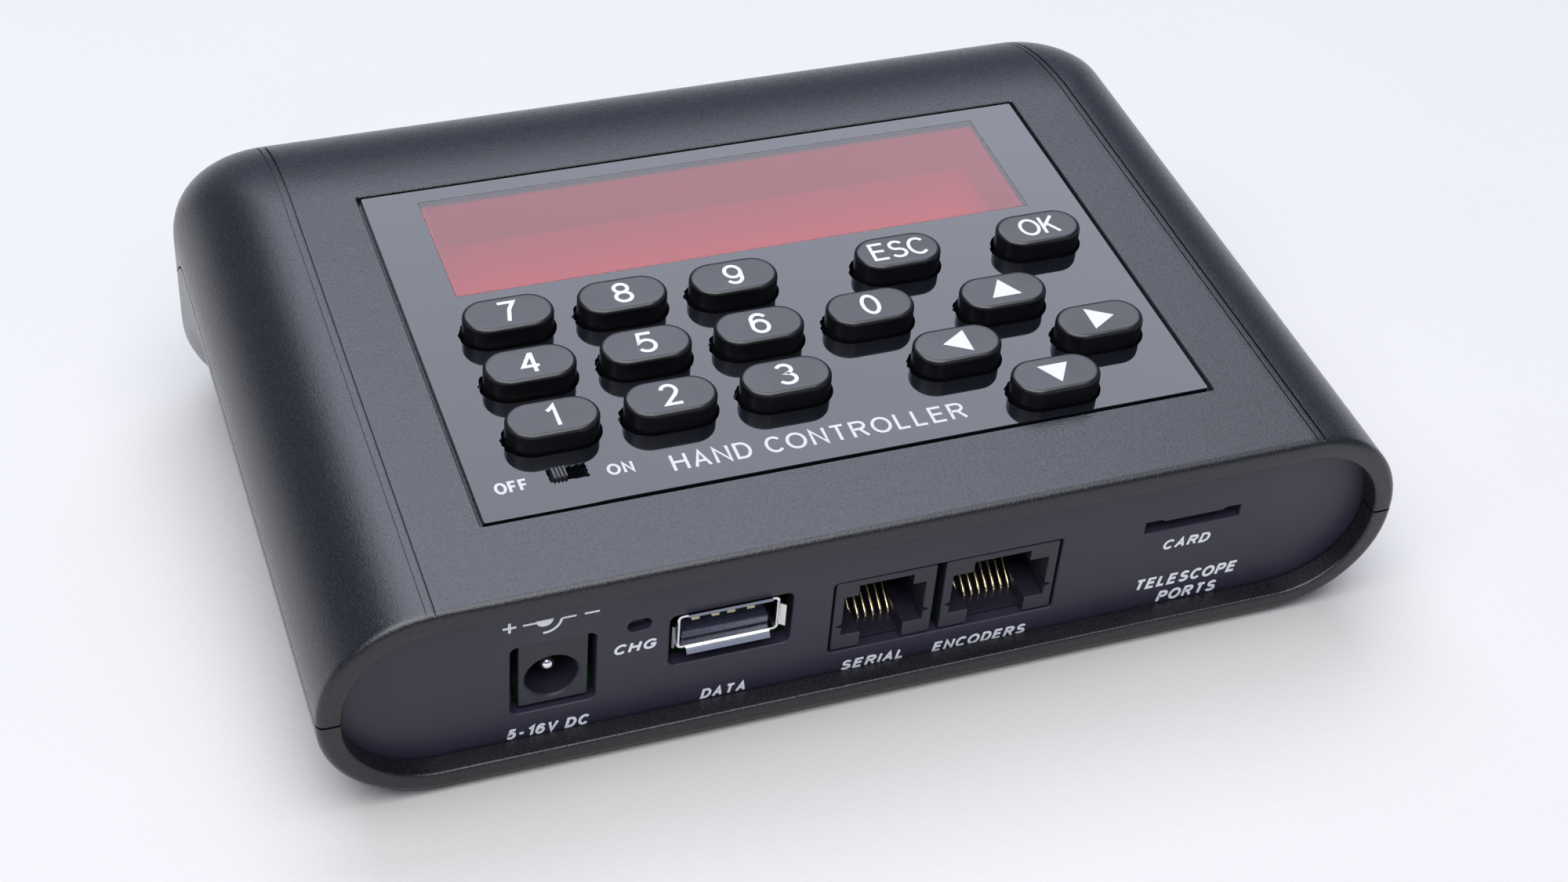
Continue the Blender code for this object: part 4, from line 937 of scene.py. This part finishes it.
# Name, word, middle, width and height in mm; on the overlay also the pen's width over the height.
OVERLAY_LABELS = (("off", "OFF", -42.2, 15.2, 4.1, 2.0, 0.19),
                  ("on", "ON", -28.9, 15.0, 3.3, 1.95, 0.19),
                  ("title", "HAND CONTROLLER", -3.8, 14.2, 38.0, 2.9, 0.14))
PORT_LABELS = (("power", "5-16V DC", -41.7, -25.75, 10.3, 1.75),
               ("charge", "CHG", -31.1, -14.85, 5.3, 1.65),
               ("data", "DATA", -19.6, -25.7, 5.8, 1.65),
               ("serial", "SERIAL", 0.1, -25.95, 8.4, 1.65),
               ("encoders", "ENCODERS", 14.55, -26.1, 12.8, 1.7),
               ("card", "CARD", 41.95, -16.1, 6.6, 1.65),
               ("side_1", "TELESCOPE", 43.2, -22.6, 14.5, 1.9),
               ("side_2", "PORTS", 43.6, -25.5, 8.6, 1.9))
# Left, right, low and high in mm of the bars in the polarity mark.
POLARITY_BARS = ((-47.3, -45.7, -0.17, 0.17), (-46.67, -46.33, -0.8, -0.18), (-46.67, -46.33, 0.18, 0.8),
                 (-44.9, -43.3, -0.14, 0.14), (-40.2, -38.5, -0.14, 0.14), (-37.5, -35.7, -0.15, 0.15))


def pen_paths(text, gap):
    """The strokes of a line of text, in units of the letters' height."""
    paths, at = [], 0.0
    for letter in text:
        strokes = GLYPHS[letter]
        paths += [[(at + u, v) for u, v in path] for path in strokes]
        at += gap + max([u for path in strokes for u, v in path], default=0.12)
    return paths


def lettering(name, text, width, height, place, look, body="case", upright=False, pen=0.13, slant=0.0,
              gap=0.22):
    """Thin raised letters whose box is width by height about place; upright ones stand on the panel."""
    paths = [[(u + slant * v, v) for u, v in path] for path in pen_paths(text, gap + pen)]
    us = [u for path in paths for u, v in path]
    mid_u = (max(us) + min(us)) / 2
    scale_u = (width - pen * height) / (max(us) - min(us))
    scale_v = height * (1 - pen)

    def to_point(u, v, up):
        return place + Vector((u, -up, v) if upright else (u, v, up))

    mesh = bmesh.new()
    for number, path in enumerate(paths):
        half_sheet = INK_HALF + INK_STEP * (number % 4)
        drawn = [((u - mid_u) * scale_u, (v - 0.5) * scale_v) for u, v in path]
        add_stroke(mesh, drawn, pen * height, half_sheet, to_point)
    settle(make(name, mesh, look, 30), "light_lens", body=body)


def add_triangle(mesh, spot, turn, z):
    """Solid arrow triangle; turn is in quarter turns from pointing to +Y."""
    angle = -turn * pi / 2
    points = [(spot.x + (x * cos(angle) - y * sin(angle)) * MM,
               spot.y + (x * sin(angle) + y * cos(angle)) * MM)
              for x, y in ((-2.05, -1.45), (2.05, -1.45), (0.0, 1.95))]
    add_prism(mesh, points, "Z", z - INK_HALF, z + INK_HALF)


def make_legends():
    spots = key_spots()
    for word, width, height in LEGENDS:
        name = f"key_{word.lower()}"
        place = Vector((spots[name].x, spots[name].y, KEY_RISE))
        lettering(f"legend_{word.lower()}", word, width * MM, height * MM, place, "key_ink", name,
                  gap=0.1)
    for turn, side in enumerate(("up", "right", "down", "left")):
        mesh = bmesh.new()
        add_triangle(mesh, spots[f"key_{side}"], turn, KEY_RISE)
        settle(make(f"legend_{side}", mesh, "key_ink"), "light_lens", body=f"key_{side}")


def make_labels():
    for name, word, x, y, width, height, pen in OVERLAY_LABELS:
        place = Vector((x * MM, y * MM, OVERLAY_HIGH.z))
        lettering(f"label_{name}", word, width * MM, height * MM, place, "label_ink", pen=pen)
    for name, word, x, z, width, height in PORT_LABELS:
        place = Vector((x * MM, 0.0, z * MM))
        lettering(f"label_{name}", word, width * MM, height * MM, place, "port_ink", upright=True,
                  pen=0.21, slant=0.2)


def make_polarity_mark():
    """Plug polarity sign over the power jack: plus, line, half disc, arc, line, minus."""
    x, z = -42.3 * MM, -7.5 * MM
    mesh = bmesh.new()
    for left, right, low, high in POLARITY_BARS:
        bar = [(left * MM, z + low * MM), (right * MM, z + low * MM), (right * MM, z + high * MM),
               (left * MM, z + high * MM)]
        add_prism(mesh, bar, "Y", -INK_HALF, INK_HALF)
    half_disc = arc(x, z + 0.25 * MM, 1.05 * MM, 1.05 * MM, 180, 360, 16)
    add_prism(mesh, half_disc, "Y", -INK_HALF, INK_HALF)
    sweep = arc(x, z + 0.2 * MM, 2.05 * MM, 2.05 * MM, -95, -5, 16)
    add_prism(mesh, thick_path(sweep, 0.32 * MM), "Y", -INK_HALF, INK_HALF)
    settle(make("label_polarity", mesh, "port_ink"), "light_lens")


def make_power_knob():
    """Slide switch knob with four ridges across its travel."""
    low, high = local_box("power_switch_knob")
    ridges = 4
    pitch = (high.x - low.x) / ridges
    valley = high.z - 0.3 * MM
    outline = [(low.x, low.z), (high.x, low.z)]
    for k in reversed(range(ridges)):
        left = low.x + k * pitch
        outline += [(left + pitch * 0.92, valley), (left + pitch * 0.78, high.z),
                    (left + pitch * 0.3, high.z), (left + pitch * 0.12, valley)]
    knob = make("slide_knob", prism(outline, "Y", low.y, high.y), "knob_plastic", 25)
    settle(knob, "keycap", "power_switch_knob", body="power_slider")


# ---- Connectors ----
def make_modular_jack(name, spec):
    low, high = local_box(f"{name}_jack")
    x, front = (low.x + high.x) / 2, low.y
    back = front + 12.5 * MM
    edge = MOULD_EDGE
    block = stack(grown_box(x, (low.z + high.z) / 2, high.x - low.x, high.z - low.z, 0.25 * MM), "Y",
                  [(front, -edge), (front + edge, 0.0), (high.y, 0.0)])
    jack = make(f"{name}_socket", block, "black_plastic")
    mouth = grown_box(x, (PLUG_TOP + PLUG_BOTTOM) / 2, 2 * spec["opening"], PLUG_TOP - PLUG_BOTTOM)
    notch = rounded_box(x, PLUG_TOP, 2 * spec["notch"], 3.5 * MM)
    floor, ceiling = low.z + 0.35 * MM, PLUG_BOTTOM + MM
    slot = rounded_box(x, (ceiling + floor) / 2, 2 * spec["slot"], ceiling - floor)
    open_slot = rounded_box(x, PLUG_BOTTOM - MM, 2 * spec["slot"], 4.0 * MM)
    nicks = bmesh.new()
    for side in (-1, 1):
        start = x + side * (spec["opening"] - 0.2 * MM)
        nick = [(start, -18.35 * MM), (start + side * 1.1 * MM, -18.95 * MM), (start, -19.35 * MM)]
        add_prism(nicks, nick, "Y", AHEAD, front + 2.5 * MM)
    levels = [(AHEAD, edge), (front, edge), (front + edge, 0.0), (back, 0.0)]
    carve(jack, *less(stack(mouth, "Y", levels), prism(notch, "Y", AHEAD, back - MM),
                      prism(slot, "Y", AHEAD, front + 9 * MM),
                      prism(open_slot, "Y", AHEAD, front + 1.2 * MM), nicks))
    settle(jack, "black_plastic", f"{name}_jack")


def make_jack_wires(name, spec):
    low, high = local_box(f"{name}_jack")
    wires = bmesh.new()
    for way in range(spec["ways"]):
        x = (low.x + high.x) / 2 + (way - (spec["ways"] - 1) / 2) * WIRE_PITCH
        add_tube(wires, [Vector((x, y * MM, z * MM)) for y, z in WIRE_PATH], WIRE_RADIUS)
    settle(make(f"{name}_wires", wires, "gold", 60), "gold", f"{name}_contacts")


def make_power_jack():
    front, edge, flare = 0.5 * MM, MOULD_EDGE, 0.25 * MM
    block = stack(grown_box(POWER_MID.x + 0.15 * MM, -16.55 * MM, 8.5 * MM, 10.3 * MM, 0.2 * MM), "Y",
                  [(front, -edge), (front + edge, 0.0), (local_box("power_jack")[1].y, 0.0)])
    jack = make("power_socket", block, "black_plastic")
    bore = stack(lambda grow: circle(POWER_MID.x, POWER_MID.z, 3.25 * MM + grow, 48), "Y",
                 [(AHEAD, flare), (front, flare), (front + flare, 0.0), (9.5 * MM, 0.0)])
    carve(jack, *less(bore))
    settle(jack, "black_plastic", "power_jack")


def make_power_pin():
    low, high = local_box("power_jack_pin")
    radius = 1.0 * MM
    levels = [(low.y + radius * (1 - cosine), radius * sine) for sine, cosine in quarter_turn(6, 1)]
    levels.append((high.y + 0.4 * MM, radius))
    pin = stack(lambda r: circle(POWER_MID.x, POWER_MID.z, r, 24), "Y", levels)
    settle(make("power_pin", pin, "steel", 50), "steel", "power_jack_pin")


def make_usb_sleeve():
    height = USB_TOP - USB_BOTTOM
    outline = rounded_box(USB_X, USB_Z, 2 * USB_HALF, height, 0.7 * MM)
    shell = make("usb_sleeve", prism(outline, "Y", 0.05 * MM, USB_HIGH.y), "steel")
    bore = rounded_box(USB_X, USB_Z, 2 * (USB_HALF - USB_SHEET), height - 2 * USB_SHEET, 0.4 * MM)
    carve(shell, *less(prism(bore, "Y", AHEAD, 2 * USB_HIGH.y)))
    settle(shell, "steel", "usb_shell")


def make_usb_lips():
    """The sleeve's flared lips: below, above and at both sides."""
    lips = bmesh.new()
    half_sheet = USB_SHEET / 2
    for side, reach, at in ((-1, 1.0, USB_BOTTOM + half_sheet), (1, 0.55, USB_TOP - half_sheet)):
        outline = thick_path([(y * MM, at - side * w * reach * MM) for y, w in USB_FLARE], USB_SHEET)
        add_prism(lips, outline, "X", USB_X - 5.3 * MM, USB_X + 5.3 * MM)
    for side in (-1, 1):
        at = USB_X + side * (USB_HALF - half_sheet)
        outline = thick_path([(y * MM, at - side * w * MM) for y, w in USB_FLARE], USB_SHEET)
        add_prism(lips, [(u, v) for v, u in outline], "Z", USB_Z - 1.75 * MM, USB_Z + 1.75 * MM)
    settle(make("usb_lips", lips, "steel", 50), "steel")


def make_usb_insert():
    """The plastic tongue on its block, and its four contacts."""
    top, low = -15.2 * MM, -16.35 * MM
    edge = 0.12 * MM
    tongue = stack(grown_box(USB_X, (top + low) / 2, 11.0 * MM, top - low, 0.15 * MM), "Y",
                   [(1.0 * MM, -edge), (1.0 * MM + edge, 0.0), (9.9 * MM, 0.0)])
    add_box(tongue, (USB_X - 5.9 * MM, 9.85 * MM, USB_BOTTOM + 0.5 * MM),
            (USB_X + 5.9 * MM, local_box("usb_tongue")[1].y, USB_TOP - 0.5 * MM))
    settle(make("usb_insert", tongue, "tongue_plastic"), "tongue_plastic", "usb_tongue")
    springs = bmesh.new()
    outline = thick_path([(y * MM, z * MM) for y, z in USB_SPRING], 0.16 * MM)
    for across in (-3.5, -1.0, 1.0, 3.5):
        add_prism(springs, outline, "X", USB_X + (across - 0.5) * MM, USB_X + (across + 0.5) * MM)
    settle(make("usb_contacts", springs, "gold", 50), "gold")


def make_charge_light():
    edge = 0.3 * MM
    lens = stack(grown_stadium(LIGHT_MID.x, LIGHT_MID.z, 2.6 * MM, 1.5 * MM, 10), "Y",
                 [(1.0 * MM, -edge), (1.1 * MM, -edge * 0.3), (1.35 * MM, 0.0), (5.0 * MM, 0.0)])
    settle(make("light_window", lens, "light_lens"), "light_lens", "charge_light")


# ---- Screws and feet ----
def make_case_screw(name):
    low, high = local_box(name)
    x, y = (low.x + high.x) / 2, (low.y + high.y) / 2
    start = low.z + SCREW_HEAD + 0.2 * MM
    thread = high.z - low.z - SCREW_HEAD - 1.2 * MM
    levels = [(low.z + z * MM, radius * MM) for z, radius in SCREW_HEAD_PROFILE]
    for k in range(SCREW_TURNS):
        levels.append((start + thread * k / SCREW_TURNS, 1.05 * MM))
        levels.append((start + thread * (k + 0.5) / SCREW_TURNS, 1.25 * MM))
    levels.append((high.z, 0.5 * MM))
    screw = stack(lambda radius: circle(x, y, radius, 28), "Z", levels)
    piece = make(f"{name}_detail", screw, "steel", 40)
    ends = low.z - MM, low.z + 0.9 * MM
    drive = [prism(rounded_box(x, y, *size), "Z", *ends) for size in (DRIVE_SIZE, DRIVE_SIZE[::-1])]
    carve(piece, *less(*drive), smooth=40)
    settle(piece, "steel", name)


def make_foot(name):
    """A rubber dome: the cap of a sphere."""
    low, high = local_box(name)
    x, y = (low.x + high.x) / 2, (low.y + high.y) / 2
    radius = (high.x - low.x) / 2
    height = high.z - low.z
    sphere = (radius ** 2 + height ** 2) / (2 * height)
    reach = asin(radius / sphere)
    angles = [reach * (1 - k / DOME_STEPS) for k in range(DOME_STEPS)]
    levels = [(low.z + sphere * (1 - cos(angle)), sphere * sin(angle)) for angle in angles]
    dome = stack(lambda r: circle(x, y, r, 36), "Z", levels)
    settle(make(f"{name}_dome", dome, "rubber", 40), "rubber", name)


def dress_cad_nodes():
    """The CAD nodes that stay get the procedural look of their slot."""
    slots = {row["node"]: row["material_slot"] for row in RECORD["subparts"]}
    for name, node in frame["nodes"].items():
        if node.hide_render:
            continue
        node.data.materials.clear()
        node.data.materials.append(LOOKS[slots[name]])


# ---- Floor, lights, camera ----
def make_floor():
    mesh = bmesh.new()
    bmesh.ops.create_grid(mesh, x_segments=24, y_segments=24, size=3.0)
    data = bpy.data.meshes.new("floor")
    mesh.to_mesh(data)
    mesh.free()
    floor = link_object("floor", data)
    data.materials.append(floor_look())


def soft_light(name, direction, distance, size, radiance, colour):
    """A large rectangular light that faces the object from a direction in the case frame."""
    data = bpy.data.lights.new(name, "AREA")
    data.shape = "RECTANGLE"
    data.size, data.size_y = size
    data.energy = radiance * pi * size[0] * size[1]
    data.color = colour
    lamp = link_object(name, data)
    aim = (CASE.to_3x3() @ Vector(direction)).normalized()
    target = CASE @ Vector((0, 40 * MM, 0))
    lamp.location = target + aim * distance
    lamp.rotation_euler = aim.to_track_quat("Z", "Y").to_euler()


def make_lights():
    soft_light("back_softbox", (0.09, 0.62, 0.777), 2.0, (1.85, 1.3), 4.0, (0.91, 0.955, 1.11))
    soft_light("top_softbox", (-0.2, -0.22, 0.955), 2.0, (2.6, 2.2), 5.2, (0.985, 0.99, 1.02))
    world = bpy.data.worlds.new("studio")
    bpy.context.scene.world = world
    world.use_nodes = True
    background = world.node_tree.nodes["Background"]
    background.inputs["Color"].default_value = (0.8, 0.9, 1.2, 1.0)
    background.inputs["Strength"].default_value = 0.25


def make_camera():
    """The photograph's view: place and axes in the case frame."""
    right = Vector((0.94062822, -0.33223043, 0.06958086))
    down = Vector((-0.17293153, -0.64542989, -0.74398585))
    ahead = Vector((0.2920843, 0.68778136, -0.66456269))
    data = bpy.data.cameras.new("camera")
    data.lens = 60.62
    data.sensor_width = 36.0
    data.clip_start = 0.01
    camera = link_object("camera", data)
    turn = Matrix((right, -down, -ahead)).transposed().to_4x4()
    camera.matrix_world = CASE @ Matrix.Translation(Vector((-101.669, -205.097, 212.192)) * MM) @ turn
    bpy.context.scene.camera = camera


make_camera()
make_floor()
make_lights()
make_top_shell()
make_bottom_shell()
make_port_panel()
make_overlay()
make_window()
make_bezel()
make_keys()
make_legends()
make_labels()
make_polarity_mark()
make_power_knob()
for jack_name, jack_spec in JACKS.items():
    make_modular_jack(jack_name, jack_spec)
    make_jack_wires(jack_name, jack_spec)
make_power_jack()
make_power_pin()
make_usb_sleeve()
make_usb_lips()
make_usb_insert()
make_charge_light()
for screw in CASE_SCREWS:
    make_case_screw(screw)
for foot in FEET:
    make_foot(foot)
dress_cad_nodes()
bpy.context.scene.view_settings.view_transform = "Standard"
